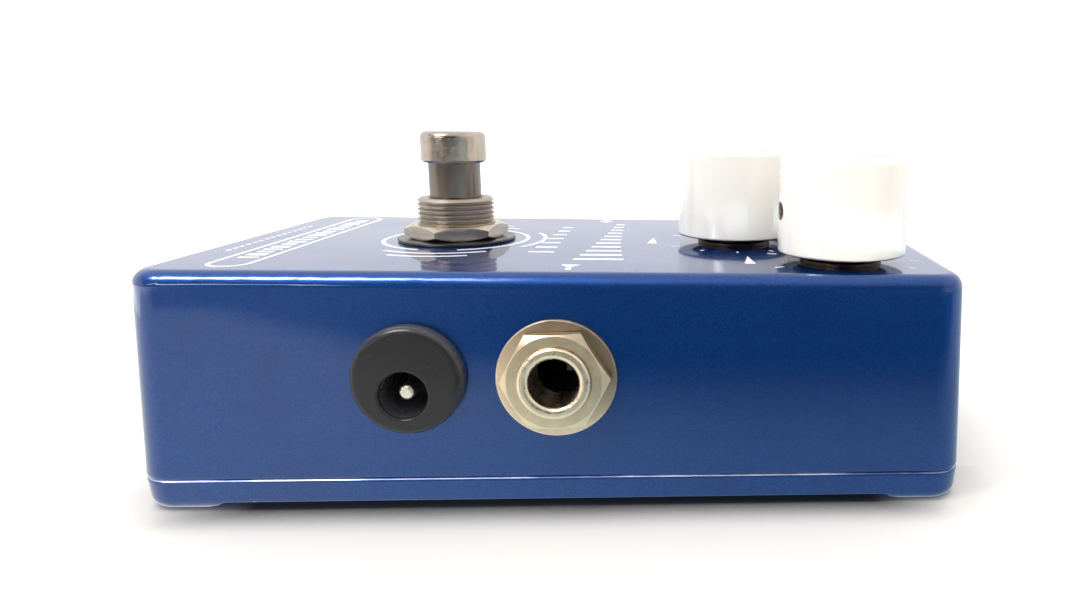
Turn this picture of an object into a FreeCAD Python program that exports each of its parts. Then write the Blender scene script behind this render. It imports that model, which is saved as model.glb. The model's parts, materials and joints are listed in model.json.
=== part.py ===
import FreeCAD, Part
import math
import os
import Sketcher
from FreeCAD import Matrix, Placement, Rotation, Vector

# Guitar effects pedal: drafted die-cast box with a screwed base cover, one stomp switch,
# three control knobs, two 6.35 mm jacks, a DC socket, and the works inside.
# Frame: +Z up, origin at the centre of the footprint on the resting plane,
# -Y is the player's end (stomp switch), +Y the control end, +X the input side.
# All lengths are in millimetres, all angles in degrees.

doc = FreeCAD.newDocument("effects_pedal")

# alias, value, what it is
SIZES = [
    ("case_width", 60.0, "across the box at the seam, X"),
    ("case_length", 112.0, "along the box at the seam, Y"),
    ("seam_height", 4.45, "where box and cover meet"),
    ("case_top", 32.4, "top plane of the box"),
    ("draft_angle", 1.64, "die draft of the box sides"),
    ("wall", 2.0, "side wall"),
    ("top_wall", 2.2, "top wall"),
    ("corner_radius", 4.4, "upright outer corners"),
    ("top_edge_radius", 2.0, "rolled top edge"),
    ("seam_edge_radius", 0.45, "softened edges at the seam"),
    ("hole_clearance", 0.15, "box holes round their bushings"),
    ("boss_radius", 3.5, "screw posts"),
    ("boss_x", 25.0, "screw posts from the middle, X"),
    ("boss_y", 51.0, "screw posts from the middle, Y"),
    ("screw_radius", 1.75, "cover screws"),
    ("screw_reach", 12.0, "thread depth above the seam"),
    ("screw_head_bottom", 0.3, "underside of the screw heads, Z"),
    ("cover_draft", 3.2, "cover sides lean in below the seam"),
    ("cover_edge_radius", 1.8, "lower edge of the cover"),
    ("foot_height", 1.2, "corner feet below the cover"),
    ("foot_reach", 8.8, "corner feet, from the corner"),
    ("foot_blend", 3.0, "length of the smooth step of a foot"),
    ("countersink_radius", 3.75, "mouth of the countersinks"),
    ("countersink_depth", 1.75, "depth of the countersinks"),
    ("cover_inside", 3.2, "inner face of the cover"),
    ("tray_step_x", 3.9, "tray corner steps from the post axes, X"),
    ("tray_step_y", 3.7, "tray corner steps from the post axes, Y"),
    ("lip_height", 1.5, "locating lip above the seam"),
    ("lip_thickness", 1.3, "locating lip"),
    ("lip_gap", 0.15, "locating lip to box wall"),
    ("switch_y", -21.1, "stomp switch axis, Y"),
    ("bushing_radius", 5.95, "M12 bushing"),
    ("bushing_top", 39.4, "top of the switch bushing"),
    ("bushing_bore", 4.075, "guide bore of the bushing"),
    ("bushing_foot", 26.2, "underside of the bushing"),
    ("bushing_floor", 1.4, "floor of the bushing, under the spring"),
    ("flange_radius", 7.0, "flange at the foot of the bushing"),
    ("flange_thickness", 1.0, "flange at the foot of the bushing"),
    ("thread_pitch", 0.75, "fine thread of the bushing"),
    ("stem_radius", 4.0, "plunger stem"),
    ("cap_radius", 5.0, "plunger cap"),
    ("cap_bottom", 45.0, "underside of the cap"),
    ("cap_top", 49.9, "top of the cap"),
    ("cap_edge_radius", 0.9, "rounded top edge of the cap"),
    ("rod_radius", 2.5, "thin lower rod of the plunger"),
    ("rod_bottom", 24.3, "lower end of the rod"),
    ("shoulder_height", 35.0, "where the stem steps down to the rod"),
    ("nut_flats", 14.0, "switch nuts across flats"),
    ("nut_thickness", 2.3, "switch nut"),
    ("inner_nut_thickness", 2.0, "switch nut inside the box"),
    ("washer_radius", 9.1, "black switch washer"),
    ("washer_thickness", 0.5, "black switch washer"),
    ("lock_washer_radius", 8.4, "toothed washer inside the box"),
    ("lock_washer_thickness", 0.55, "toothed washer inside the box"),
    ("rocker_tilt", 12.0, "rocker lean at rest"),
    ("rocker_pivot_height", 17.2, "rocker pivot"),
    ("front_pot_x", 17.5, "outer controls, X"),
    ("front_pot_y", 39.3, "outer controls, Y"),
    ("middle_pot_y", 24.4, "middle control, Y"),
    ("pot_can_radius", 8.25, "potentiometer can"),
    ("pot_can_bottom", 21.2, "potentiometer can"),
    ("pot_can_wall", 0.5, "potentiometer can"),
    ("pot_plate_bottom", 29.0, "potentiometer front plate"),
    ("pot_bushing_radius", 3.45, "M7 bushing"),
    ("pot_bushing_top", 37.0, "top of the M7 bushing"),
    ("pot_washer_radius", 6.0, "washer on the M7 bushing"),
    ("pot_washer_thickness", 0.5, "washer on the M7 bushing"),
    ("pot_nut_flats", 10.0, "nut on the M7 bushing"),
    ("pot_nut_thickness", 2.0, "nut on the M7 bushing"),
    ("track_bottom", 26.9, "track wafer"),
    ("track_thickness", 2.0, "track wafer"),
    ("shaft_radius", 3.0, "6 mm control shaft"),
    ("shaft_clearance", 0.05, "shaft in its bushing"),
    ("shaft_bottom", 23.0, "lower end of the shaft"),
    ("shaft_top", 44.6, "top of the shaft"),
    ("flat_depth", 0.5, "flat of the shaft"),
    ("knob_radius", 9.4, "knob"),
    ("knob_height", 14.0, "knob"),
    ("knob_gap", 1.4, "box top to knob"),
    ("knob_recess_radius", 7.0, "hollow under the knob"),
    ("knob_recess", 3.6, "depth of the hollow under the knob"),
    ("insert_radius", 5.0, "brass insert"),
    ("insert_length", 8.1, "brass insert"),
    ("grub_radius", 1.25, "grub screw"),
    ("grub_length", 3.6, "grub screw"),
    ("grub_height", 6.0, "grub screw above the knob's underside"),
    ("jack_y", -0.5, "both jacks, Y"),
    ("side_hole_height", 18.5, "jacks and DC socket, Z"),
    ("jack_bore", 3.225, "bore for a 6.35 mm plug"),
    ("jack_bushing_radius", 4.8, "3/8 inch bushing"),
    ("jack_reach", 3.4, "bushing proud of the box side"),
    ("jack_nut_flats", 12.7, "jack nut across flats"),
    ("jack_nut_thickness", 2.0, "jack nut"),
    ("jack_washer_radius", 8.0, "jack washer"),
    ("jack_washer_thickness", 0.6, "jack washer"),
    ("dc_y", -19.6, "DC socket, Y"),
    ("dc_flange_radius", 7.25, "DC socket flange"),
    ("dc_flange_reach", 2.0, "DC socket flange proud of the box side"),
    ("dc_barrel_radius", 5.9, "DC socket thread"),
    ("dc_hole_radius", 3.15, "DC socket opening"),
    ("dc_hole_drop", 1.9, "DC opening below the flange axis"),
    ("dc_hole_shift", 0.4, "DC opening beside the flange axis"),
    ("dc_pin_radius", 1.05, "2.1 mm centre pin"),
    ("dc_nut_flats", 14.5, "DC socket nut across flats"),
    ("dc_nut_thickness", 2.6, "DC socket nut"),
    ("led_y", 45.0, "lamp, Y"),
    ("led_radius", 2.5, "5 mm lamp"),
    ("led_lead_x", 1.27, "lamp leads from the lamp axis, X"),
    ("bezel_radius", 4.0, "lamp bezel"),
    ("bezel_neck_radius", 3.1, "part of the bezel in the box wall"),
    ("board_bottom", 16.9, "circuit board underside"),
    ("board_thickness", 1.6, "circuit board"),
    ("board_half_width", 26.5, "circuit board"),
    ("board_start", 10.0, "circuit board, lower Y edge"),
    ("board_end", 53.0, "circuit board, upper Y edge"),
    ("board_notch", 4.1, "board corner notches from the post axes"),
    ("battery_length", 46.4, "9 V battery case"),
    ("battery_depth", 17.0, "9 V battery case"),
    ("battery_width", 26.2, "9 V battery case"),
    ("battery_x", -26.0, "battery, lower X face"),
    ("battery_end", -30.2, "battery, upper Y face"),
    ("battery_bottom", 3.5, "battery underside"),
    ("battery_snap", 6.35, "snap studs from the battery's mid height"),
    ("wire_radius", 0.6, "hook-up wire"),
]

sheet = doc.addObject("Spreadsheet::Sheet", "Sizes")
sheet.set("A1", "size")
sheet.set("B1", "value")
sheet.set("C1", "what it is")
for row, (alias, value, note) in enumerate(SIZES, start=2):
    sheet.set("A%d" % row, alias)
    sheet.set("B%d" % row, str(value))
    sheet.setAlias("B%d" % row, alias)
    sheet.set("C%d" % row, note)
doc.recompute()


class Dim:
    """A length as a number together with the formula that gives it from the sheet."""

    def __init__(self, value, text, linked):
        self.value, self.text, self.linked = value, text, linked

    def join(self, other, sign, value):
        text = "(%s %s %s)" % (self.text, sign, other.text)
        return Dim(value, text, self.linked or other.linked)

    def __add__(self, other):
        other = dim(other)
        return self.join(other, "+", self.value + other.value)

    def __sub__(self, other):
        other = dim(other)
        return self.join(other, "-", self.value - other.value)

    def __mul__(self, other):
        other = dim(other)
        return self.join(other, "*", self.value * other.value)

    def __truediv__(self, other):
        other = dim(other)
        return self.join(other, "/", self.value / other.value)

    def __radd__(self, other):
        return dim(other) + self

    def __rsub__(self, other):
        return dim(other) - self

    def __rmul__(self, other):
        return dim(other) * self

    def __neg__(self):
        return dim(0.0) - self


def dim(x):
    if isinstance(x, Dim):
        return x
    x = float(x)
    return Dim(x, "%.6f" % x if x >= 0 else "(0 - %.6f)" % -x, False)


class Sizes:
    """Holds one Dim for each alias of the sheet."""


size = Sizes()
for alias, _, _ in SIZES:
    setattr(size, alias, Dim(float(sheet.get(alias)), "Sizes." + alias, True))


# ---------- binding and placing ----------

def bind(obj, prop, value):
    value = dim(value)
    setattr(obj, prop, value.value)
    if value.linked:
        obj.setExpression(prop, value.text)


def place(obj, x=0, y=0, z=0, rotation=None):
    x, y, z = dim(x), dim(y), dim(z)
    obj.Placement = Placement(Vector(x.value, y.value, z.value), rotation or Rotation())
    for axis, value in (("x", x), ("y", y), ("z", z)):
        if value.linked:
            obj.setExpression("Placement.Base." + axis, value.text)
    return obj


NODES = []


def node(obj):
    """Register a finished sub-part; its Label names its file."""
    NODES.append(obj)
    return obj


# ---------- sketches ----------

def new_body(name):
    return doc.addObject("PartDesign::Body", name)


def origin_feature(body, role):
    for feature in body.Origin.OriginFeatures:
        if feature.Role == role:
            return feature
    raise ValueError(role)


def new_sketch(body, name, role="XY_Plane", base=(0, 0, 0), rotation=None):
    sketch = body.newObject("Sketcher::SketchObject", name)
    sketch.AttachmentSupport = [(origin_feature(body, role), "")]
    sketch.MapMode = "FlatFace"
    base = [dim(b) for b in base]
    offset = Vector(*[b.value for b in base])
    sketch.AttachmentOffset = Placement(offset, rotation or Rotation())
    for axis, value in zip("xyz", base):
        if value.linked:
            sketch.setExpression("AttachmentOffset.Base." + axis, value.text)
    return sketch


def link_last(sketch, value, label):
    """Tie the constraint added last to the sheet."""
    if value.linked:
        sketch.renameConstraint(sketch.ConstraintCount - 1, label)
        sketch.setExpression("Constraints." + label, value.text)


def fix(sketch, kind, curve, position, value, label):
    """Locate one point along one sketch axis."""
    value = dim(value)
    if not value.linked and value.value == 0:
        axis = -2 if kind == "DistanceX" else -1
        sketch.addConstraint(Sketcher.Constraint("PointOnObject", curve, position, axis))
        return
    sketch.addConstraint(Sketcher.Constraint(kind, -1, 1, curve, position, value.value))
    link_last(sketch, value, label)


def circle(sketch, x, y, radius):
    x, y, radius = dim(x), dim(y), dim(radius)
    shape = Part.Circle(Vector(x.value, y.value, 0), Vector(0, 0, 1), radius.value)
    curve = sketch.addGeometry(shape, False)
    if not x.linked and not y.linked and x.value == 0 and y.value == 0:
        sketch.addConstraint(Sketcher.Constraint("Coincident", curve, 3, -1, 1))
    else:
        fix(sketch, "DistanceX", curve, 3, x, "cx%d" % curve)
        fix(sketch, "DistanceY", curve, 3, y, "cy%d" % curve)
    sketch.addConstraint(Sketcher.Constraint("Radius", curve, radius.value))
    link_last(sketch, radius, "cr%d" % curve)


def arc_between(start, end, radius, left):
    """Arc from start to end, its centre on the left or right of the chord."""
    chord = end - start
    half = chord.Length / 2
    normal = Vector(-chord.y, chord.x, 0).normalize() * (1 if left else -1)
    centre = (start + end) * 0.5 + normal * math.sqrt(max(radius ** 2 - half ** 2, 0))
    angle0 = math.atan2(start.y - centre.y, start.x - centre.x)
    angle1 = math.atan2(end.y - centre.y, end.x - centre.x)
    if not left:
        angle0, angle1 = angle1, angle0
    if angle1 < angle0:
        angle1 += 2 * math.pi
    return Part.ArcOfCircle(Part.Circle(centre, Vector(0, 0, 1), radius), angle0, angle1)


def outline(sketch, points, arcs=None):
    """Closed outline; arcs maps a side's number to (radius, centre on the left)."""
    arcs = arcs or {}
    points = [(dim(x), dim(y)) for x, y in points]
    corners = [Vector(x.value, y.value, 0) for x, y in points]
    sides = []  # curve, its start point, its end point
    for i, start in enumerate(corners):
        end = corners[(i + 1) % len(corners)]
        if i in arcs:
            radius, left = arcs[i]
            curve = sketch.addGeometry(arc_between(start, end, dim(radius).value, left), False)
        else:
            left = True
            curve = sketch.addGeometry(Part.LineSegment(start, end), False)
        sides.append((curve, 1, 2) if left else (curve, 2, 1))
    for i, (x, y) in enumerate(points):
        before, (curve, start, _) = sides[i - 1], sides[i]
        joint = Sketcher.Constraint("Coincident", before[0], before[2], curve, start)
        sketch.addConstraint(joint)
        fix(sketch, "DistanceX", curve, start, x, "x%d_%d" % (curve, i))
        fix(sketch, "DistanceY", curve, start, y, "y%d_%d" % (curve, i))
    for i, (radius, _) in arcs.items():
        radius = dim(radius)
        sketch.addConstraint(Sketcher.Constraint("Radius", sides[i][0], radius.value))
        link_last(sketch, radius, "r%d" % i)


def rectangle(sketch, x0, y0, x1, y1):
    outline(sketch, [(x0, y0), (x1, y0), (x1, y1), (x0, y1)])


def hexagon(sketch, corner, turn=0.0, y=0.0):
    """Hexagon centred at (0, y), with its corners at the given distance."""
    angles = [math.radians(60 * i + turn) for i in range(6)]
    outline(sketch, [(corner * math.cos(a), y + corner * math.sin(a)) for a in angles])


# ---------- body features ----------

volumes = {}


def settle(body, feature, removes=None):
    """Recompute, then make sure that the feature did something in the right direction."""
    before = volumes.get(body.Name, 0.0)
    doc.recompute()
    after = body.Shape.Volume
    if removes is True and not after < before - 1e-6:
        raise ValueError("%s cut nothing" % feature.Name)
    if removes is False and not after > before + 1e-6:
        raise ValueError("%s added nothing" % feature.Name)
    volumes[body.Name] = after
    return feature


def extrude(kind, body, sketch, length, name, reverse=False, taper=None, midplane=False):
    feature = body.newObject("PartDesign::" + kind, name)
    feature.Profile = sketch
    bind(feature, "Length", length)
    feature.Reversed = reverse
    if midplane:
        feature.Midplane = True
    if taper is not None:
        bind(feature, "TaperAngle", taper)
    return settle(body, feature, removes=kind == "Pocket")


def pad(*args, **options):
    return extrude("Pad", *args, **options)


def pocket(*args, **options):
    return extrude("Pocket", *args, **options)


def turned(body, sketch_name, name, points, arcs=None, cuts=False):
    """Outline of (radius, height) points turned about the body's Z axis."""
    sketch = new_sketch(body, sketch_name, "XZ_Plane")
    outline(sketch, points, arcs)
    feature = body.newObject("PartDesign::Groove" if cuts else "PartDesign::Revolution", name)
    feature.Profile = sketch
    feature.ReferenceAxis = (sketch, ["V_Axis"])
    feature.Angle = 360.0
    return settle(body, feature, removes=cuts)


def cut_thread(body, prefix, points, pitch, count):
    """Row of ring grooves; points outline the top one, the others follow below it."""
    root = turned(body, prefix + "thread_groove", prefix + "thread_root", points, cuts=True)
    pattern = body.newObject("PartDesign::LinearPattern", prefix + "threads")
    pattern.Originals = [root]
    pattern.Direction = (origin_feature(body, "Z_Axis"), [""])
    pattern.Reversed = True
    bind(pattern, "Length", dim(pitch) * (count - 1))
    pattern.Occurrences = count
    body.Tip = pattern
    settle(body, pattern)


def soften(body, radius, name, test):
    """Round the edges of the body for which test is true."""
    tip = body.Tip
    names = ["Edge%d" % (i + 1) for i, e in enumerate(tip.Shape.Edges) if test(e)]
    if not names:
        raise ValueError("no edges for " + name)
    feature = body.newObject("PartDesign::Fillet", name)
    feature.Base = (tip, names)
    bind(feature, "Radius", radius)
    settle(body, feature)


def flat_at(z):
    return lambda e: abs(e.BoundBox.ZMin - z.value) < 1e-3 and abs(e.BoundBox.ZMax - z.value) < 1e-3


# ---------- primitives and booleans ----------

def box(name, x, y, z, size_x, size_y, size_z):
    block = doc.addObject("Part::Box", name)
    bind(block, "Length", size_x)
    bind(block, "Width", size_y)
    bind(block, "Height", size_z)
    return place(block, x, y, z)


ALONG = {
    "Z": Rotation(),
    "X": Rotation(Vector(0, 1, 0), 90),
    "Y": Rotation(Vector(1, 0, 0), -90),
}


def rod(name, x, y, z, radius, length, axis="Z"):
    cylinder = doc.addObject("Part::Cylinder", name)
    bind(cylinder, "Radius", radius)
    bind(cylinder, "Height", length)
    return place(cylinder, x, y, z, ALONG[axis])


def ring(name, x, y, z, outer, inner, length, axis="Z"):
    """Flat ring: a cylinder with a bore that starts 1 mm before it and ends 1 mm past it."""
    blank = rod(name + "_blank", x, y, z, outer, length, axis)
    start = [dim(v) - (1 if letter == axis else 0) for letter, v in zip("XYZ", (x, y, z))]
    return cut(name, blank, rod(name + "_bore", *start, inner, dim(length) + 2, axis))


def cut(name, base, *tools):
    result = doc.addObject("Part::Cut", name)
    result.Base = base
    result.Tool = tools[0] if len(tools) == 1 else fuse(name + "_tools", *tools)
    return result


def fuse(name, *shapes):
    result = doc.addObject("Part::MultiFuse", name)
    result.Shapes = list(shapes)
    return result


def group(name, *shapes):
    compound = doc.addObject("Part::Compound", name)
    compound.Links = list(shapes)
    return compound


def rounded(name, base, radius, test):
    """Fillet chosen edges of a primitive or boolean."""
    doc.recompute()
    result = doc.addObject("Part::Fillet", name)
    result.Base = base
    result.Edges = [(i + 1, radius, radius) for i, e in enumerate(base.Shape.Edges) if test(e)]
    if not result.Edges:
        raise ValueError("no edges for " + name)
    return result


def hexagon_nut(name, flats, thickness, bore, turn):
    """Hexagon nut with both faces bevelled at the corners; bottom at z 0."""
    body = new_body(name)
    flats, thickness = dim(flats), dim(thickness)
    corner = flats / math.sqrt(3)
    sketch = new_sketch(body, name + "_hexagon")
    hexagon(sketch, corner, turn)
    circle(sketch, 0, 0, bore)
    pad(body, sketch, thickness, name + "_blank")
    inner, outer = flats / 2 - 0.15, corner + 0.6
    rise = (outer - inner) * math.tan(math.radians(30))
    turned(body, name + "_bevel_top", name + "_bevelled_top",
           [(inner, thickness), (outer, thickness - rise), (outer, thickness)], cuts=True)
    turned(body, name + "_bevel_bottom", name + "_bevelled",
           [(inner, 0), (outer, 0), (outer, rise)], cuts=True)
    return body


# ---------- shared places ----------

half_width, half_length = size.case_width / 2, size.case_length / 2
inner_top = size.case_top - size.top_wall
side_lean = math.tan(math.radians(size.draft_angle.value))
# half width of the drafted box at the height of the side holes
face_x = half_width - (size.side_hole_height - size.seam_height) * side_lean
CORNERS = ((-1, -1), (1, -1), (1, 1), (-1, 1))  # signs of X and Y

# name, X, Y, turn of the knob
CONTROLS = [
    ("delay", size.front_pot_x, size.front_pot_y, 8.0),
    ("repeat", dim(0), size.middle_pot_y, -38.0),
    ("mix", -size.front_pot_x, size.front_pot_y, 24.0),
]
TERMINAL_X = (-4.97, 0.02, 4.97)  # pot terminals from the pot axis
TERMINAL_Y = -11.2  # outer face of the pot terminals, from the pot axis


def corner_circles(sketch, radius):
    """One circle on each screw post's axis."""
    for side_x, side_y in CORNERS:
        circle(sketch, size.boss_x * side_x, size.boss_y * side_y, radius)


def seam_rim(edge):
    """True for the outer edges at the seam, corners included."""
    middle = edge.CenterOfMass
    reach_x = max(abs(v.Point.x) for v in edge.Vertexes) / half_width.value
    reach_y = max(abs(v.Point.y) for v in edge.Vertexes) / half_length.value
    outside = max(abs(middle.x) / half_width.value, abs(middle.y) / half_length.value) > 0.975
    return flat_at(size.seam_height)(edge) and outside and reach_x + reach_y > 1.9


# ---------- box ----------

def cavity_corner(edge):
    middle = edge.CenterOfMass
    return (edge.BoundBox.ZLength > 20 and abs(middle.x) < half_width.value - 1.8
            and abs(middle.y) < half_length.value - 1.8)


def make_case():
    case = new_body("enclosure_body")
    seam = (0, 0, size.seam_height)
    depth = inner_top - size.seam_height
    sketch = new_sketch(case, "case_outline", base=seam)
    rectangle(sketch, -half_width, -half_length, half_width, half_length)
    pad(case, sketch, size.case_top - size.seam_height, "case_block", taper=-size.draft_angle)
    soften(case, size.corner_radius, "case_corners", lambda e: e.BoundBox.ZLength > 20)
    soften(case, size.top_edge_radius, "case_top_edge", flat_at(size.case_top))

    sketch = new_sketch(case, "cavity_outline", base=seam)
    rectangle(sketch, size.wall - half_width, size.wall - half_length,
              half_width - size.wall, half_length - size.wall)
    pocket(case, sketch, depth, "cavity", reverse=True, taper=-size.draft_angle)
    soften(case, size.corner_radius - size.wall, "cavity_corners", cavity_corner)

    # screw posts, run 0.5 into the top wall, and their holes
    sketch = new_sketch(case, "boss_outlines", base=seam)
    corner_circles(sketch, size.boss_radius)
    pad(case, sketch, depth + 0.5, "bosses")
    sketch = new_sketch(case, "boss_holes", base=seam)
    corner_circles(sketch, size.screw_radius + 0.05)
    pocket(case, sketch, size.screw_reach, "boss_threads", reverse=True)

    sketch = new_sketch(case, "top_holes", base=(0, 0, size.case_top + 1))
    circle(sketch, 0, size.switch_y, size.bushing_radius + size.hole_clearance)
    for _, x, y, _ in CONTROLS:
        circle(sketch, x, y, size.pot_bushing_radius + size.hole_clearance)
    circle(sketch, 0, size.led_y, size.bezel_neck_radius + 0.05)
    pocket(case, sketch, 5.0, "top_drillings")

    drill_side(case)
    soften(case, size.seam_edge_radius, "case_seam_edge", seam_rim)
    node(case)


def drill_side(case):
    """Jack holes on both sides and the DC hole on +X, square to the drafted wall."""
    lean = Rotation(Vector(1, 0, 0), -size.draft_angle.value)
    drill_depth = 8.0
    sketch = new_sketch(case, "jack_hole", "YZ_Plane", rotation=lean,
                        base=(size.jack_y, size.side_hole_height, face_x))
    circle(sketch, 0, 0, size.jack_bushing_radius + size.hole_clearance)
    jack_hole = pocket(case, sketch, drill_depth, "jack_drilling", midplane=True)
    mirrored = case.newObject("PartDesign::Mirrored", "jack_drillings")
    mirrored.Originals = [jack_hole]
    mirrored.MirrorPlane = (origin_feature(case, "YZ_Plane"), [""])
    case.Tip = mirrored
    settle(case, mirrored, removes=True)
    sketch = new_sketch(case, "dc_hole", "YZ_Plane", rotation=lean,
                        base=(size.dc_y, size.side_hole_height, face_x))
    circle(sketch, 0, 0, size.dc_barrel_radius + size.hole_clearance)
    pocket(case, sketch, drill_depth, "dc_drilling", midplane=True)


# ---------- base cover ----------

def cut_underside(cover):
    """Recess between the corner feet both ways, with a smooth step at each foot."""
    blend, rise = size.foot_blend, size.foot_height
    half_blend, half_rise = blend / 2, rise / 2
    radius = (half_blend * half_blend + half_rise * half_rise) / (2 * half_rise)
    for role, half, label in (("YZ_Plane", half_length, "long"), ("XZ_Plane", half_width, "short")):
        edge = half - size.foot_reach
        sketch = new_sketch(cover, "recess_" + label, role)
        outline(
            sketch,
            [(-edge, 0), (half_blend - edge, half_rise), (blend - edge, rise),
             (edge - blend, rise), (edge - half_blend, half_rise), (edge, 0),
             (edge, -2), (-edge, -2)],
            arcs={side: (radius, False) for side in (0, 1, 3, 4)})
        pocket(cover, sketch, 140.0, "underside_" + label, midplane=True)


def make_cover():
    cover = new_body("base_cover")
    sketch = new_sketch(cover, "cover_outline", base=(0, 0, size.seam_height))
    rectangle(sketch, -half_width, -half_length, half_width, half_length)
    pad(cover, sketch, size.seam_height, "cover_block", reverse=True, taper=-size.cover_draft)
    soften(cover, size.corner_radius, "cover_corners", lambda e: e.BoundBox.ZLength > 3)
    soften(cover, size.cover_edge_radius, "cover_lower_edge", flat_at(dim(0)))
    cut_underside(cover)

    # hollow inside, stepped round the screw posts
    lip_x = half_width - size.wall - size.lip_gap
    lip_y = half_length - size.wall - size.lip_gap
    tray_x, tray_y = lip_x - size.lip_thickness, lip_y - size.lip_thickness
    step_x, step_y = size.boss_x - size.tray_step_x, size.boss_y - size.tray_step_y
    sketch = new_sketch(cover, "tray_outline", base=(0, 0, size.cover_inside))
    outline(sketch, [
        (-step_x, -tray_y), (step_x, -tray_y), (step_x, -step_y), (tray_x, -step_y),
        (tray_x, step_y), (step_x, step_y), (step_x, tray_y), (-step_x, tray_y),
        (-step_x, step_y), (-tray_x, step_y), (-tray_x, -step_y), (-step_x, -step_y)])
    pocket(cover, sketch, 3.0, "tray", reverse=True)

    # lip in four lengths, started 0.5 below the seam
    sketch = new_sketch(cover, "lip_outline", base=(0, 0, size.seam_height - 0.5))
    rectangle(sketch, tray_x, -step_y, lip_x, step_y)
    rectangle(sketch, -lip_x, -step_y, -tray_x, step_y)
    rectangle(sketch, -step_x, tray_y, step_x, lip_y)
    rectangle(sketch, -step_x, -lip_y, step_x, -tray_y)
    pad(cover, sketch, size.lip_height + 0.5, "locating_lip")

    sketch = new_sketch(cover, "cover_holes")
    corner_circles(sketch, size.screw_radius + 0.25)
    pocket(cover, sketch, 12.0, "screw_holes", midplane=True)
    for k, (side_x, side_y) in enumerate(CORNERS):
        sketch = new_sketch(cover, "countersink_top_%d" % k)
        circle(sketch, size.boss_x * side_x, size.boss_y * side_y, size.countersink_radius)
        pocket(cover, sketch, size.countersink_depth, "countersink_%d" % k,
               reverse=True, taper=-45.0)
    soften(cover, size.seam_edge_radius, "cover_seam_edge", seam_rim)
    node(cover)


def cover_screw(k):
    """Countersunk screw with a cross recess, on the Z axis."""
    screw = new_body("cover_screw_%d" % k)
    radius, bottom = size.screw_radius, size.screw_head_bottom
    tip = size.seam_height + size.screw_reach - 0.4
    turned(screw, "cover_screw_profile_%d" % k, "cover_screw_blank_%d" % k, [
        (0, bottom), (3.1, bottom), (3.15, 0.5), (radius, 1.9),
        (radius, tip - 0.8), (radius - 0.8, tip), (0, tip)])
    sketch = new_sketch(screw, "cover_screw_cross_%d" % k, base=(0, 0, bottom))
    slot, arm = 0.4, 1.7
    outline(sketch, [
        (slot, slot), (slot, arm), (-slot, arm), (-slot, slot), (-arm, slot), (-arm, -slot),
        (-slot, -slot), (-slot, -arm), (slot, -arm), (slot, -slot), (arm, -slot), (arm, slot)])
    pocket(screw, sketch, 1.4, "cover_screw_recess_%d" % k, reverse=True, taper=-14.0)
    return screw


def make_cover_screws():
    screws = []
    for k, (side_x, side_y) in enumerate(CORNERS):
        turn = Rotation(Vector(0, 0, 1), 20.0 + 37.0 * k)
        screws.append(place(cover_screw(k), size.boss_x * side_x, size.boss_y * side_y, 0, turn))
    node(group("base_cover_screws", *screws))


# ---------- stomp switch ----------

LUG_STEP_X, LUG_STEP_Y = 4.4, 5.0  # grid of the nine lugs
SPRING_TURNS, SPRING_RADIUS, SPRING_WIRE = 5, 3.42, 0.28
SPRING_END_GAP = 0.32  # seat or shoulder to the wire's middle


def at_switch(obj, z=0):
    """Stand a finished sub-part on the switch axis."""
    return node(place(obj, 0, size.switch_y, z))


def make_bushing():
    body = new_body("footswitch_bushing")
    radius, bore, top, foot = (size.bushing_radius, size.bushing_bore,
                               size.bushing_top, size.bushing_foot)
    rod_hole = size.rod_radius + 0.1
    flange_top, floor = foot + size.flange_thickness, foot + size.bushing_floor
    turned(body, "bushing_profile", "bushing_blank", [
        (rod_hole, foot), (size.flange_radius, foot), (size.flange_radius, flange_top),
        (radius, flange_top), (radius, top - 0.45), (radius - 0.45, top), (bore + 0.35, top),
        (bore, top - 0.35), (bore, floor), (rod_hole, floor)])
    root, groove_z = radius - 0.42, top - 0.75
    cut_thread(body, "", [
        (root, groove_z - 0.05), (radius + 0.1, groove_z - 0.36),
        (radius + 0.1, groove_z + 0.36), (root, groove_z + 0.05)], size.thread_pitch, 15)
    at_switch(body)


def make_plunger():
    body = new_body("footswitch_plunger")
    cap, bottom, top, edge = size.cap_radius, size.cap_bottom, size.cap_top, size.cap_edge_radius
    turned(body, "plunger_profile", "plunger_blank", [
        (0, size.rod_bottom), (size.rod_radius, size.rod_bottom),
        (size.rod_radius, size.shoulder_height), (size.stem_radius, size.shoulder_height),
        (size.stem_radius, bottom), (cap - 0.35, bottom), (cap, bottom + 0.35),
        (cap, top - edge), (cap - edge, top), (0, top)], arcs={7: (edge, True)})
    at_switch(body)


def make_switch_fasteners():
    """Nut and washer above the box wall, toothed washer and nut under it."""
    bore = size.bushing_radius + 0.05
    nut = hexagon_nut("footswitch_nut", size.nut_flats, size.nut_thickness, bore, turn=111.0)
    at_switch(nut, size.case_top + size.washer_thickness)
    washer = ring("footswitch_washer_flat", 0, 0, 0, size.washer_radius,
                  size.bushing_radius + 0.2, size.washer_thickness)
    washer = rounded("footswitch_washer", washer, 0.15, lambda e: e.Length > 2 * math.pi * 9.0)
    at_switch(washer, size.case_top)

    lock_bottom = inner_top - size.lock_washer_thickness
    at_switch(lock_washer(), lock_bottom)
    nut = hexagon_nut("footswitch_inner_nut", size.nut_flats, size.inner_nut_thickness,
                      bore, turn=80.0)
    at_switch(nut, lock_bottom - 0.05 - size.inner_nut_thickness)


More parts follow.
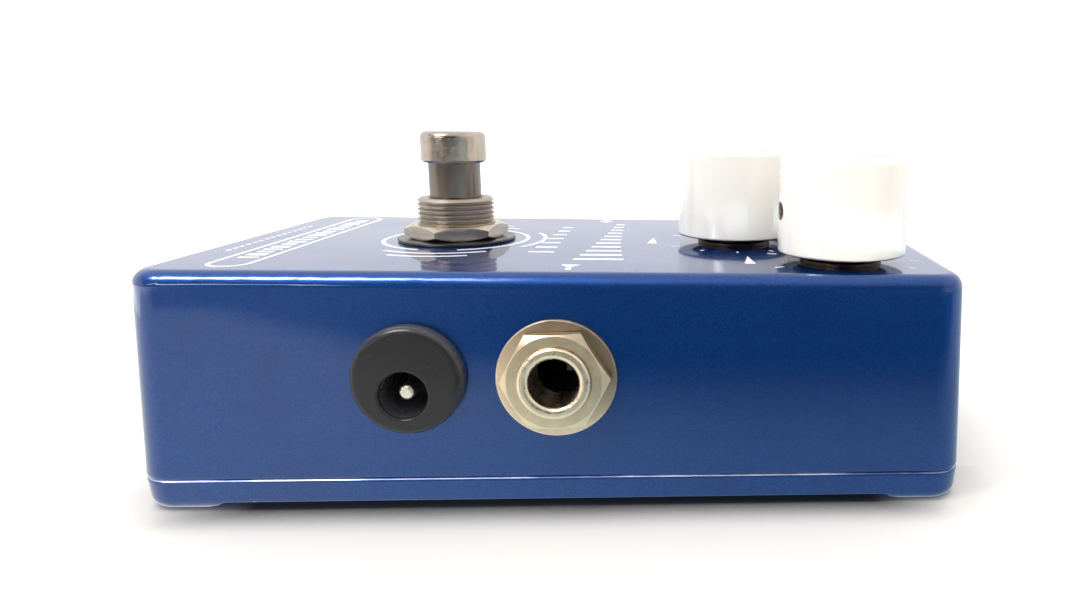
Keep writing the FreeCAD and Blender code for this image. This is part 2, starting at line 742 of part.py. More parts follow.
def lock_washer():
    body = new_body("footswitch_lock_washer")
    sketch = new_sketch(body, "lock_washer_outline")
    circle(sketch, 0, 0, size.lock_washer_radius)
    circle(sketch, 0, 0, size.bushing_radius + 0.25)
    pad(body, sketch, size.lock_washer_thickness, "lock_washer_blank")
    sketch = new_sketch(body, "tooth_gap")
    rectangle(sketch, 6.0, -0.45, 7.3, 0.45)
    gap = pocket(body, sketch, size.lock_washer_thickness, "tooth_gap_cut", reverse=True)
    polar = body.newObject("PartDesign::PolarPattern", "tooth_gaps")
    polar.Originals = [gap]
    polar.Axis = (origin_feature(body, "Z_Axis"), [""])
    polar.Angle = 360.0
    polar.Occurrences = 12
    body.Tip = polar
    settle(body, polar, removes=True)
    return body


def make_switch_frame():
    """Pressed steel: top plate and two cheeks folded down over the plastic housing."""
    plate = box("frame_plate", -8.6, -8.6, 25.1, 17.2, 17.2, 1.1)
    cheeks = [box("frame_cheek_%d" % k, x, -5.5, 14.5, 0.8, 11.0, 11.0)
              for k, x in enumerate((-8.6, 7.8))]
    hooks = [box("frame_hook_%d" % k, x, -3.0, 13.9, 1.6, 6.0, 0.6)
             for k, x in enumerate((-8.6, 7.0))]
    hole = rod("frame_hole", 0, 0, 24.0, size.rod_radius + 0.4, 4.0)
    at_switch(cut("footswitch_frame", fuse("frame_blank", plate, *cheeks, *hooks), hole))


def switch_lug(tag, x, y, centre_row):
    """Blade with an eye; the centre row carries the contact pivots, the others flat pads."""
    blade = box("lug_" + tag, x - 0.4, y - 1.1, 7.6, 0.8, 2.2, 6.65)
    eye = rod("lug_eye_" + tag, x - 1.0, y, 9.2, 0.55, 2.0, "X")
    half_x, half_y, height = (0.6, 0.6, 2.25) if centre_row else (1.0, 1.3, 1.2)
    head = box("lug_head_" + tag, x - half_x, y - half_y, 14.25, 2 * half_x, 2 * half_y, height)
    return cut("terminal_" + tag, fuse("lug_blank_" + tag, blade, head), eye)


def make_switch_housing():
    """Plastic housing and the nine lugs through its floor."""
    block = box("housing_block", -7.7, -8.6, 12.6, 15.4, 17.2, 12.5)
    room = box("housing_room", -6.5, -7.4, 14.2, 13.0, 14.8, 12.0)
    hook_slots = [box("housing_hook_slot_%d" % k, x, -3.1, 12.0, 0.9, 6.2, 2.6)
                  for k, x in enumerate((-7.8, 6.9))]
    slots, lugs = [], []
    for ix in (-1, 0, 1):
        for iy in (-1, 0, 1):
            tag = "%d%d" % (ix + 1, iy + 1)
            x, y = LUG_STEP_X * ix, LUG_STEP_Y * iy
            slots.append(box("slot_" + tag, x - 0.5, y - 1.2, 12.0, 1.0, 2.4, 3.0))
            lugs.append(switch_lug(tag, x, y, iy == 0))
    pivots = rod("housing_pivot_holes", -9.0, 0, size.rocker_pivot_height, 0.86, 18.0, "X")
    at_switch(cut("footswitch_housing", block, room, pivots, *hook_slots, *slots))
    at_switch(group("footswitch_terminals", *lugs))


def make_pusher():
    """Snaps on the rod's end and leans on the rocker."""
    tip_radius, tip_z = 1.2, 23.8
    disc = rod("pusher_disc", 0, 0, 24.0, 3.3, 1.0)
    tip = rod("pusher_tip", 0, 0, tip_z, tip_radius, 0.4)
    nose = doc.addObject("Part::Sphere", "pusher_nose")
    nose.Radius = tip_radius
    place(nose, 0, 0, tip_z)
    bore = rod("pusher_bore", 0, 0, size.rod_bottom, size.rod_radius + 0.01, 3.0)
    at_switch(cut("footswitch_pusher", fuse("pusher_blank", disc, tip, nose), bore))


def on_pivot(obj):
    """Hang a finished sub-part on the rocker pivot, leaning as at rest."""
    lean = Rotation(Vector(1, 0, 0), size.rocker_tilt.value)
    node(place(obj, 0, size.switch_y, size.rocker_pivot_height, lean))


def make_rocker():
    """Block with a V-shaped top and a trunnion at each end."""
    body = new_body("footswitch_rocker")
    sketch = new_sketch(body, "rocker_profile", "YZ_Plane")
    outline(sketch, [(-5.4, 0.3), (5.4, 0.3), (5.4, 3.3), (4.6, 3.3), (0, 1.35),
                     (-4.6, 3.3), (-5.4, 3.3)])
    pad(body, sketch, 11.6, "rocker_block", midplane=True)
    for side, start, reverse in (("right", 5.5, False), ("left", -5.5, True)):
        sketch = new_sketch(body, side + "_trunnion", "YZ_Plane", base=(0, 0, start))
        circle(sketch, 0, 0, 0.8)
        pad(body, sketch, 1.7, side + "_pivot", reverse=reverse)
    on_pivot(body)


# Y and Z from the rocker pivot
BLADE_OUTLINE = [
    (-5.6, -0.1), (-5.6, -0.5), (-4.4, -0.5), (-4.1, -0.15), (-0.7, -0.15), (0, -0.4),
    (0.7, -0.15), (4.1, -0.15), (4.4, -0.5), (5.6, -0.5), (5.6, -0.1), (4.2, 0.25), (-4.2, 0.25),
]


def make_contact_blades():
    blades = []
    for k in range(3):
        body = new_body("contact_blade_%d" % k)
        sketch = new_sketch(body, "blade_profile_%d" % k, "YZ_Plane")
        outline(sketch, BLADE_OUTLINE)
        pad(body, sketch, 2.0, "blade_%d" % k, midplane=True)
        blades.append(place(body, LUG_STEP_X * (k - 1), 0, 0))
    on_pivot(group("footswitch_contact_blades", *blades))


def make_spring():
    """Between bushing floor and plunger shoulder: half coils, each tilted to climb half a pitch."""
    low = size.bushing_foot.value + size.bushing_floor.value + SPRING_END_GAP
    high = size.shoulder_height.value - SPRING_END_GAP
    climb = (high - low) / SPRING_TURNS / 2
    slope = math.atan2(climb / 2, SPRING_RADIUS)
    tilted_radius = math.hypot(SPRING_RADIUS, climb / 2)
    halves = []
    for k in range(2 * SPRING_TURNS):
        side = 1 if k % 2 == 0 else -1
        half = Part.makeTorus(tilted_radius, SPRING_WIRE, Vector(0, 0, 0), Vector(0, 0, 1),
                              -180, 180, 180)
        half.Placement = Placement(Matrix(
            side * math.cos(slope), 0, side * math.sin(slope), 0,
            0, side, 0, 0,
            -math.sin(slope), 0, math.cos(slope), climb * (k + 0.5),
            0, 0, 0, 1))
        halves.append(half)
    spring = doc.addObject("Part::Feature", "footswitch_spring")
    spring.Shape = halves[0].multiFuse(halves[1:]).Solids[0]
    spring.Placement = Placement(Vector(0, size.switch_y.value, low), Rotation())
    node(spring)


# ---------- three controls ----------

def pot_can(tag):
    """Can with a window on the -Y side for the terminal tail."""
    radius, bottom, wall = size.pot_can_radius, size.pot_can_bottom, size.pot_can_wall
    return cut("can_shell_" + tag,
               rod("can_outer_" + tag, 0, 0, bottom, radius, size.pot_plate_bottom - bottom),
               rod("can_inner_" + tag, 0, 0, bottom + wall, radius - wall, 12.0),
               box("can_window_" + tag, -6.7, -12.0, 25.6, 13.4, 7.0, 6.0))


def pot_bushing(tag):
    """Front plate and threaded bushing, turned in one piece."""
    body = new_body("pot_bushing_" + tag)
    bore, plate = size.shaft_radius + size.shaft_clearance, size.pot_can_radius - 0.05
    radius, top = size.pot_bushing_radius, size.pot_bushing_top
    turned(body, "pot_bushing_profile_" + tag, "pot_bushing_blank_" + tag, [
        (bore, size.pot_plate_bottom), (plate, size.pot_plate_bottom), (plate, inner_top),
        (radius, inner_top), (radius, top - 0.2), (radius - 0.2, top), (bore, top)])
    return body


def pot_track(tag):
    """Resistive track wafer, with a tail that carries three terminals."""
    bottom, thickness = size.track_bottom, size.track_thickness
    tail = box("wafer_tail_" + tag, -6.5, -10.4, bottom, 13.0, 5.0, thickness)
    disc = rod("wafer_disc_" + tag, 0, 0, bottom, 7.6, thickness)
    hole = rod("wafer_hole_" + tag, 0, 0, 26.0, 3.6, 4.0)
    return cut("wafer_" + tag, fuse("wafer_blank_" + tag, tail, disc), hole)


def pot_terminals(tag):
    """Three terminals, each a tab under the tail and a leg down to the board."""
    pins = []
    for k, x in enumerate(TERMINAL_X):
        tab = box("pin_tab_%s_%d" % (tag, k), x - 1.0, TERMINAL_Y, 26.3, 2.0, 3.0, 0.6)
        leg = box("pin_leg_%s_%d" % (tag, k), x - 0.5, TERMINAL_Y, 15.8, 1.0, 0.6, 10.6)
        pins.append(fuse("pot_pin_%s_%d" % (tag, k), tab, leg))
    return pins


def pot_washer(tag):
    return ring("pot_washer_" + tag, 0, 0, 0, size.pot_washer_radius,
                size.pot_bushing_radius + 0.1, size.pot_washer_thickness)


def pot_nut(tag):
    return hexagon_nut("pot_nut_" + tag, size.pot_nut_flats, size.pot_nut_thickness,
                       size.pot_bushing_radius + 0.03, turn=12.0)


def make_pots():
    for name, make, z in (
            ("pot_housings", pot_can, 0),
            ("pot_bushings", pot_bushing, 0),
            ("pot_element_boards", pot_track, 0),
            ("pot_washers", pot_washer, size.case_top),
            ("pot_nuts", pot_nut, size.case_top + size.pot_washer_thickness)):
        node(group(name, *[place(make(tag), x, y, z) for tag, x, y, _ in CONTROLS]))
    node(group("pot_terminals", *[place(pin, x, y, 0) for tag, x, y, _ in CONTROLS
                                  for pin in pot_terminals(tag)]))


def control_shaft(tag):
    """Shaft with a flat on the -Y side for the grub screw."""
    body = new_body(tag + "_shaft")
    radius, bottom, top = size.shaft_radius, size.shaft_bottom, size.shaft_top
    turned(body, tag + "_shaft_profile", tag + "_shaft_blank", [
        (0, bottom), (radius, bottom), (radius, top - 0.3), (radius - 0.3, top), (0, top)])
    sketch = new_sketch(body, tag + "_shaft_flat", base=(0, 0, top))
    rectangle(sketch, -4, -4, 4, size.flat_depth - radius)
    pocket(body, sketch, top - size.pot_bushing_top - 0.6, tag + "_shaft_flat_cut")
    return body


def control_wiper(tag):
    """Plastic rotor with two raised spring fingers under the track."""
    rotor = ring(tag + "_rotor", 0, 0, 23.6, 6.3, size.shaft_radius + 0.01, 2.0)
    fingers = [box("%s_finger_%d" % (tag, k), x, 3.6, 25.4, 0.9, 2.4, 1.45)
               for k, x in enumerate((-1.4, 0.5))]
    return fuse(tag + "_wiper", rotor, *fingers)


def control_knob(tag):
    knob = new_body(tag + "_knob")
    radius, height = size.knob_radius, size.knob_height
    recess, recess_radius = size.knob_recess, size.knob_recess_radius
    insert_top = recess + size.insert_length + 0.1
    turned(knob, tag + "_knob_profile", tag + "_knob_blank", [
        (recess_radius, 0), (radius - 0.35, 0), (radius, 0.35), (radius, height - 0.8),
        (radius - 0.8, height), (0, height), (0, insert_top), (size.insert_radius, insert_top),
        (size.insert_radius, recess), (recess_radius, recess)],
        arcs={1: (0.35, True), 3: (0.8, True)})
    sketch = new_sketch(knob, tag + "_grub_hole", "XZ_Plane")
    circle(sketch, 0, size.grub_height, size.grub_radius + 0.1)
    pocket(knob, sketch, radius + 2, tag + "_grub_hole_cut", reverse=True)
    # engraved pointer line on the top, opposite the grub screw
    sketch = new_sketch(knob, tag + "_pointer_outline", base=(0, 0, height))
    outline(sketch, [(-0.5, 1.8), (0.5, 1.8), (0.5, 8.2), (-0.5, 8.2)],
            arcs={0: (0.52, True), 2: (0.52, True)})
    pocket(knob, sketch, 0.35, tag + "_pointer")
    return knob


def knob_insert(tag):
    """Brass insert, tapped across on the -Y side for the grub screw."""
    insert = new_body(tag + "_knob_insert")
    bore, radius, length = size.shaft_radius + 0.02, size.insert_radius - 0.01, size.insert_length
    turned(insert, tag + "_insert_profile", tag + "_insert_blank",
           [(bore, 0), (radius, 0), (radius, length), (bore, length)])
    sketch = new_sketch(insert, tag + "_insert_tapping", "XZ_Plane")
    circle(sketch, 0, size.grub_height - size.knob_recess, size.grub_radius + 0.03)
    pocket(insert, sketch, 8.0, tag + "_insert_tapped", reverse=True)
    return insert


def knob_grub_screw(tag):
    """Grub screw with a hexagon socket, just clear of the shaft's flat."""
    grub = new_body(tag + "_set_screw")
    start = size.shaft_radius - size.flat_depth + 0.01
    sketch = new_sketch(grub, tag + "_grub_profile", "XZ_Plane", base=(0, 0, start))
    circle(sketch, 0, size.grub_height, size.grub_radius)
    pad(grub, sketch, size.grub_length, tag + "_grub_blank")
    sketch = new_sketch(grub, tag + "_grub_socket", "XZ_Plane",
                        base=(0, 0, start + size.grub_length))
    hexagon(sketch, 0.72, y=size.grub_height)
    pocket(grub, sketch, 1.4, tag + "_grub_socket_cut")
    return grub


def make_turning_parts():
    knob_bottom = size.case_top + size.knob_gap
    for tag, x, y, turn in CONTROLS:
        rest = Rotation(Vector(0, 0, 1), turn)
        for make, z in (
                (control_shaft, 0),
                (control_wiper, 0),
                (control_knob, knob_bottom),
                (knob_insert, knob_bottom + size.knob_recess),
                (knob_grub_screw, knob_bottom)):
            node(place(make(tag), x, y, z, rest))


# ---------- side fittings ----------
# Made round their own axis: local +Z points out of the box, local +Y up.

OUT_RIGHT = Rotation(Vector(0, 1, 0), -size.draft_angle.value).multiply(
    Rotation(Vector(1, 1, 1), 120))
OUT_LEFT = Rotation(Vector(0, 0, 1), 180).multiply(OUT_RIGHT)

# Leaf springs of the jacks: local Y in the stack, local Z of the bend, contact's distance
# from the axis, then three steps from the bend along Z that shape the contact.
JACK_LEAVES = (
    (-6.7, -25.5, 2.2, -0.8, -0.4, 0.35),
    (-5.45, -19.0, 3.6, -0.5, -0.2, 0.3),
)
LEAF_THICKNESS = 0.35

# name, side, leaves, turn of the nut
JACKS = (("input", 1, JACK_LEAVES, 2.0), ("output", -1, JACK_LEAVES[:1], 18.0))


def side_place(obj, y, side):
    """Stand a fitting on the drafted side wall; side 1 is +X, -1 is -X."""
    return place(obj, face_x if side > 0 else -face_x, y, size.side_hole_height,
                 OUT_RIGHT if side > 0 else OUT_LEFT)


def jack_frame(tag):
    """Threaded sleeve with a bracket arm below the plug."""
    sleeve = new_body(tag + "_jack_sleeve")
    bore, radius, reach = size.jack_bore, size.jack_bushing_radius, size.jack_reach
    turned(sleeve, tag + "_sleeve_profile", tag + "_sleeve_blank", [
        (bore, -3.2), (6.4, -3.2), (6.4, -2.05), (radius, -2.05), (radius, reach - 0.5),
        (radius - 0.5, reach), (bore + 0.75, reach), (bore, reach - 0.75)],
        arcs={4: (0.5, True), 6: (0.75, True)})
    # the thread starts just below the rounded mouth
    cut_thread(sleeve, tag + "_", [
        (radius - 0.3, reach - 1.02), (radius + 0.1, reach - 1.3),
        (radius + 0.1, reach - 0.7), (radius - 0.3, reach - 0.98)], 0.79, 6)
    plate = box(tag + "_arm_plate", -5.5, -8.6, -3.2, 11.0, 4.0, 1.15)
    arm = box(tag + "_arm", -4.5, -8.6, -18.0, 9.0, 1.0, 15.5)
    neck = rod(tag + "_arm_clear", 0, 0, -4.0, 4.5, 3.0)
    bracket = cut(tag + "_bracket", fuse(tag + "_bracket_blank", plate, arm), neck)
    return fuse(tag + "_jack_frame", sleeve, bracket)


def jack_insulators(tag):
    """Stack of wafers on the arm."""
    wafers = [box("%s_wafer_%d" % (tag, k), -4.0, y, -17.5, 8.0, 0.8, 8.0)
              for k, y in enumerate((-7.55, -6.3, -5.05))]
    return group(tag + "_jack_insulators", *wafers)


def jack_contacts(tag, leaves):
    """Leaf springs: flat in the stack, then rising to a contact beside the plug."""
    bodies = []
    for k, (y, bend, contact, step_under, step_tip, step_over) in enumerate(leaves):
        leaf = new_body("%s_leaf_%d" % (tag, k))
        sketch = new_sketch(leaf, "%s_leaf_profile_%d" % (tag, k), "YZ_Plane")
        outline(sketch, [
            (y, -10.0), (y, bend), (-contact - 0.4, bend + step_under),
            (-contact, bend + step_tip), (y + LEAF_THICKNESS, bend + step_over),
            (y + LEAF_THICKNESS, -10.0)])
        pad(leaf, sketch, 3.4, "%s_leaf_blank_%d" % (tag, k), midplane=True)
        bodies.append(leaf)
    return group(tag + "_jack_contacts", *bodies)


def jack_nut(tag, turn):
    """Nut seated on its washer."""
    nut = hexagon_nut(tag + "_jack_nut", size.jack_nut_flats, size.jack_nut_thickness,
                      size.jack_bushing_radius + 0.04, turn)
    place(nut, 0, 0, size.jack_washer_thickness)
    return group(tag + "_nut_seated", nut)


def jack_washer(tag):
    flat = ring(tag + "_washer_flat", 0, 0, 0, size.jack_washer_radius,
                size.jack_bushing_radius + 0.15, size.jack_washer_thickness)
    return rounded(tag + "_washer_round", flat, 0.22,
                   lambda e: e.Length > 2 * math.pi * 7.0 and e.BoundBox.ZMin > 0.3)


def make_jacks():
    nuts, washers = [], []
    for tag, side, leaves, turn in JACKS:
        for part in (jack_frame(tag), jack_insulators(tag), jack_contacts(tag, leaves)):
            node(side_place(part, size.jack_y, side))
        nuts.append(side_place(jack_nut(tag, turn), size.jack_y, side))
        washers.append(side_place(jack_washer(tag), size.jack_y, side))
    node(group("jack_nuts", *nuts))
    node(group("jack_washers", *washers))


# local place of the DC opening, off the flange axis
dc_hole_x, dc_hole_y = -size.dc_hole_shift, -size.dc_hole_drop


def dc_socket():
    """Round flange outside, threaded barrel, opening off the axis."""
    body = new_body("dc_jack_body")
    flange, reach, barrel = size.dc_flange_radius, size.dc_flange_reach, size.dc_barrel_radius
    turned(body, "dc_profile", "dc_blank", [
        (0, -10.5), (barrel - 0.4, -10.5), (barrel, -10.1), (barrel, 0), (flange, 0),
        (flange, reach - 1.0), (flange - 1.0, reach), (0, reach)], arcs={5: (1.0, True)})
    cut_thread(body, "dc_", [
        (barrel - 0.4, -0.95), (barrel + 0.1, -1.25),
        (barrel + 0.1, -0.6), (barrel - 0.4, -0.9)], 0.9, 10)
    sketch = new_sketch(body, "dc_opening", base=(0, 0, reach))
    circle(sketch, dc_hole_x, dc_hole_y, size.dc_hole_radius)
    pocket(body, sketch, 11.0, "dc_opening_cut")
    sketch = new_sketch(body, "dc_contact_slot", base=(0, 0, reach - 3.5))
    rectangle(sketch, dc_hole_x - 1.2, dc_hole_y + 2.0, dc_hole_x + 1.2, dc_hole_y + 4.4)
    pocket(body, sketch, 12.0, "dc_contact_slot_cut")
    sketch = new_sketch(body, "dc_pin_hole", base=(0, 0, -8.0))
    circle(sketch, dc_hole_x, dc_hole_y, 1.41)
    pocket(body, sketch, 4.0, "dc_pin_hole_cut")
    longest = 2 * math.pi * (size.dc_hole_radius.value + 0.15)
    soften(body, 0.3, "dc_opening_edge", lambda e: flat_at(reach)(e) and e.Length < longest)
    return body


def dc_pin():
    """Centre pin with a solder lug at its inner end."""
    pin = new_body("dc_pin_turned")
    radius = size.dc_pin_radius
    turned(pin, "dc_pin_profile", "dc_pin_blank", [
        (0, -11.2), (2.0, -11.2), (2.0, -10.55), (1.4, -10.55), (1.4, -9.0), (radius, -9.0),
        (radius, 0.1), (radius - 0.5, 0.6), (0, 0.6)], arcs={6: (0.5, True)})
    sketch = new_sketch(pin, "dc_pin_lug", base=(0, 0, -11.2))
    rectangle(sketch, -0.9, -0.3, 0.9, 0.3)
    pad(pin, sketch, 2.6, "dc_pin_lug_tab", reverse=True)
    return group("dc_jack_pin", place(pin, dc_hole_x, dc_hole_y, 0))


def dc_leaf():
    """Sleeve contact, bent in towards the opening."""
    leaf = new_body("dc_sleeve_leaf")
    sketch = new_sketch(leaf, "dc_leaf_profile", "YZ_Plane")
    y = dc_hole_y + 3.9
    outline(sketch, [(y, -14.0), (y + 0.4, -14.0), (y + 0.4, -2.5), (y, -2.2),
                     (y - 0.5, -3.4), (y - 0.5, -4.4), (y, -5.8)])
    pad(leaf, sketch, 2.0, "dc_leaf_blank", midplane=True)
    return group("dc_jack_contacts", place(leaf, dc_hole_x, 0, 0))


def dc_nut():
    nut = hexagon_nut("dc_ring_nut", size.dc_nut_flats, size.dc_nut_thickness,
                      size.dc_barrel_radius + 0.05, turn=10.0)
    return group("dc_jack_nut", place(nut, 0, 0, -4.7))


def make_dc_jack():
    for make in (dc_socket, dc_pin, dc_leaf, dc_nut):
        node(side_place(make(), size.dc_y, 1))


# ---------- lamp ----------

def make_lamp():
    lamp = new_body("led")
    radius, rim = size.led_radius, size.led_radius + 0.4
    turned(lamp, "lamp_profile", "lamp_blank", [
        (0, 27.2), (rim, 27.2), (rim, 28.2), (radius, 28.2), (radius, 33.2),
        (0, 33.2 + radius)], arcs={4: (radius, True)})
    sketch = new_sketch(lamp, "lamp_leads", base=(0, 0, 27.5))
    for side in (-1, 1):
        circle(sketch, size.led_lead_x * side, 0, 0.25)
    pad(lamp, sketch, 27.5 - 15.9, "lamp_lead_wires", reverse=True)
    node(place(lamp, 0, size.led_y, 0))


def make_bezel():
    bezel = new_body("led_bezel")
    bore, neck = size.led_radius + 0.05, size.bezel_neck_radius
    outer, top = size.bezel_radius, size.case_top
    turned(bezel, "bezel_profile", "bezel_blank", [
        (bore, 28.25), (neck, 28.25), (neck, top), (outer, top), (outer, top + 0.5),
        (outer - 0.9, top + 1.4), (bore + 0.3, top + 1.4), (bore, top + 1.0)],
        arcs={4: (1.0, True)})
    node(place(bezel, 0, size.led_y, 0))


# ---------- circuit board, its parts hanging below ----------

# name, X, Y, package length, pins
CHIPS = (
    ("delay_chip", 0.0, 33.0, 20.3, 16),
    ("amplifier_chip", -15.0, 18.0, 9.8, 8),
    ("compander_chip", 15.0, 18.0, 9.8, 8),
)
# X, Y, radius, height
ELECTROLYTICS = (
    (-22.5, 41.0, 2.5, 7.0), (22.5, 41.0, 2.5, 7.0), (-22.5, 33.5, 3.15, 9.0),
    (22.2, 24.6, 2.5, 7.0), (0.0, 18.5, 2.5, 7.0),
)
# X, Y
FILM_CAPACITORS = (
    (-14.0, 25.5), (-6.0, 25.5), (6.0, 25.5), (14.0, 25.5), (-10.0, 45.5), (10.0, 45.5),
)
# X, Y, length
RESISTORS = (
    (-8.0, 40.0, 4.8), (-2.0, 40.0, 4.8), (4.0, 40.0, 4.8), (10.0, 40.0, 4.8),
    (-24.3, 22.0, 6.0), (24.3, 17.6, 6.0), (-24.3, 15.0, 6.0), (7.0, 18.5, 6.0),
    (-7.0, 18.5, 6.0),
)
PIN_PITCH = 2.54
PART_GAP = 0.02  # capacitors to the board's underside


def make_board():
    board = new_body("main_board")
    sketch = new_sketch(board, "board_outline", base=(0, 0, size.board_bottom))
    side, start, end = size.board_half_width, size.board_start, size.board_end
    notch_x, notch_y = size.boss_x - size.board_notch, size.boss_y - size.board_notch
    outline(sketch, [(-side, start), (side, start), (side, notch_y), (notch_x, notch_y),
                     (notch_x, end), (-notch_x, end), (-notch_x, notch_y), (-side, notch_y)])
    for _, pot_x, pot_y, _ in CONTROLS:
        for x in TERMINAL_X:
            circle(sketch, pot_x + x, pot_y + (TERMINAL_Y + 0.3), 0.8)
    for sign in (-1, 1):
        circle(sketch, size.led_lead_x * sign, size.led_y, 0.4)
    pad(board, sketch, size.board_thickness, "board_blank")
    node(board)


def chip(name, x, y, length, pins):
    """Dual in-line chip, legs up to the board's underside."""
    bottom, columns = size.board_bottom, pins // 2
    package = box(name + "_package", -length / 2, -3.2, bottom - 4.0, length, 6.4, 3.3)
    notch = rod(name + "_notch", -length / 2, 0, bottom - 5, 0.8, 1.4)
    legs = []
    for k in range(columns):
        leg_x = -(columns - 1) * PIN_PITCH / 2 + PIN_PITCH * k
        for side in (-1, 1):
            legs.append(box("%s_leg_%d_%d" % (name, k, side + 1),
                            leg_x - 0.4, 3.5 * side - 0.35, bottom - 2.4, 0.8, 0.7, 2.4))
    return place(cut(name, fuse(name + "_blank", package, *legs), notch), x, y, 0)


def make_capacitors():
    bottom = size.board_bottom
    parts = []
    for k, (x, y, radius, height) in enumerate(ELECTROLYTICS):
        blank = rod("electrolytic_blank_%d" % k, x, y, bottom - height - PART_GAP, radius, height)
        parts.append(rounded("electrolytic_%d" % k, blank, 0.4,
                             lambda e: e.BoundBox.ZLength < 0.01))
    for k, (x, y) in enumerate(FILM_CAPACITORS):
        blank = box("film_blank_%d" % k, x - 3.4, y - 1.2, bottom - 6.0 - PART_GAP, 6.8, 2.4, 6.0)
        # all edges except those of the top face
        parts.append(rounded("film_%d" % k, blank, 0.3,
                             lambda e: e.BoundBox.ZMin < bottom.value - 5.4))
    node(group("capacitors", *parts))


def make_resistors():
    """Barrels lying along Y, ends bent up to the board."""
    z = size.board_bottom - 1.9
    parts = []
    for k, (x, y, length) in enumerate(RESISTORS):
        barrel = rod("resistor_barrel_%d" % k, x, y - length / 2, z, 1.1, length, "Y")
        legs = [rod("resistor_leg_%d_%d" % (k, j), x, y + (length / 2 - 0.35) * side, z, 0.28, 1.88)
                for j, side in enumerate((-1, 1))]
        parts.append(fuse("resistor_%d" % k, barrel, *legs))
    node(group("resistors", *parts))


def make_board_parts():
    make_board()
    node(group("ic_chips", *[chip(*row) for row in CHIPS]))
    make_capacitors()
    make_resistors()


# ---------- battery ----------

def make_battery():
    """Battery with its snap studs on the +X end, and the clip on them."""
    start_y = size.battery_end - size.battery_depth
    blank = box("battery_case", size.battery_x, start_y, size.battery_bottom,
                size.battery_length, size.battery_depth, size.battery_width)
    case = rounded("battery_rounded", blank, 2.0, lambda e: e.BoundBox.XLength > 40)
    end_x = size.battery_x + size.battery_length
    y = start_y + size.battery_depth / 2
    mid_z = size.battery_bottom + size.battery_width / 2
    plus_z, minus_z = mid_z + size.battery_snap, mid_z - size.battery_snap
    node(fuse("battery", case,
              rod("battery_plus", end_x, y, plus_z, 2.8, 2.4, "X"),
              rod("battery_minus", end_x, y, minus_z, 4.2, 2.2, "X")))
    node(fuse("battery_clip",
              box("clip_plate", end_x + 2.5, y - 6.0, mid_z - 12.6, 1.6, 12.0, 25.2),
              ring("clip_cup_plus", end_x + 0.5, y, plus_z, 4.2, 2.85, 2.1, "X"),
              ring("clip_cup_minus", end_x + 0.5, y, minus_z, 5.6, 4.25, 2.1, "X")))


def make_foam_pad():
    """Pad between the battery and the -Y wall."""
    pad_block = box("foam_blank", 0, 0, 0, 38.0, 4.6, 21.0)
    foam = rounded("battery_foam_pad", pad_block, 0.8, lambda e: True)
    node(place(foam, -19.0, -52.2, 5.5))


# ---------- hook-up wires ----------

# each wire: name, then the X, Y, Z points it runs through
POWER_WIRES = (
    ("battery_plus_wire", (
        (25.3, -43.5, 26.5), (25.9, -43.4, 22.0), (25.9, -41.5, 12.0), (25.7, -37.0, 6.4),
        (25.3, -31.0, 5.0), (22.0, -25.0, 4.9), (15.0, -14.0, 4.9), (12.8, -3.0, 5.0),
        (12.0, 7.0, 5.6), (11.4, 11.2, 9.5), (11.4, 11.4, 13.0), (11.4, 11.4, 16.2))),
    ("battery_minus_wire", (
        (25.3, -34.8, 13.5), (25.9, -34.2, 10.0), (25.6, -31.0, 7.6), (24.6, -26.5, 7.2),
        (21.0, -17.0, 6.2), (19.0, -7.0, 5.8), (17.4, -1.6, 6.8), (17.0, -0.6, 8.6))),
    ("socket_wire", (
        (14.9, -20.0, 16.0), (13.2, -19.0, 14.0), (13.0, -17.0, 10.0), (15.0, -13.0, 7.8),
        (15.6, -4.0, 7.2), (15.2, 7.0, 7.6), (15.0, 11.3, 10.5), (15.0, 11.5, 13.5),
        (15.0, 11.5, 16.2))),
)
SIGNAL_WIRES = (
    ("input_wire", (
        (10.5, -1.5, 9.4), (9.0, -5.0, 6.4), (6.0, -12.0, 5.0), (4.4, -16.1, 5.0),
        (4.4, -16.1, 6.9))),
    ("output_wire", (
        (-10.5, -1.5, 9.4), (-9.0, -5.0, 6.4), (-6.0, -12.0, 5.0), (-4.4, -16.1, 5.0),
        (-4.4, -16.1, 6.9))),
    ("send_wire", (
        (0.0, -16.1, 6.9), (0.0, -15.6, 5.4), (1.5, -8.0, 5.2), (3.0, 6.0, 5.4),
        (3.0, 10.8, 9.0), (3.0, 11.0, 12.5), (3.0, 11.0, 16.2))),
    ("return_wire", (
        (-4.4, -21.1, 6.9), (-5.4, -20.6, 5.2), (-11.5, -12.0, 5.2), (-12.0, 2.0, 5.4),
        (-11.0, 10.6, 9.0), (-11.0, 11.0, 12.5), (-11.0, 11.0, 16.2))),
)


def wire(name, points):
    """Insulated wire that runs smoothly through its points."""
    curve = Part.BSplineCurve()
    curve.interpolate([Vector(*p) for p in points])
    path = Part.Wire([curve.toShape()])
    start = curve.value(curve.FirstParameter)
    direction = curve.tangent(curve.FirstParameter)[0]
    profile = Part.Wire([Part.makeCircle(size.wire_radius.value, start, direction)])
    tube = path.makePipeShell([profile], True, False)
    feature = doc.addObject("Part::Feature", name)
    # the sweep may come back as a closed shell
    feature.Shape = tube if tube.ShapeType == "Solid" else Part.Solid(tube)
    return feature


def make_wires():
    for name, wires in (("power_wires", POWER_WIRES), ("signal_wires", SIGNAL_WIRES)):
        node(group(name, *[wire(*row) for row in wires]))


# ---------- build, check and write ----------

for make_part in (
        make_case, make_cover, make_cover_screws,
        make_bushing, make_plunger, make_switch_fasteners, make_switch_frame,
        make_switch_housing, make_pusher, make_rocker, make_contact_blades, make_spring,
        make_pots, make_turning_parts, make_jacks, make_dc_jack, make_lamp, make_bezel,
        make_board_parts, make_battery, make_foam_pad, make_wires):
    make_part()

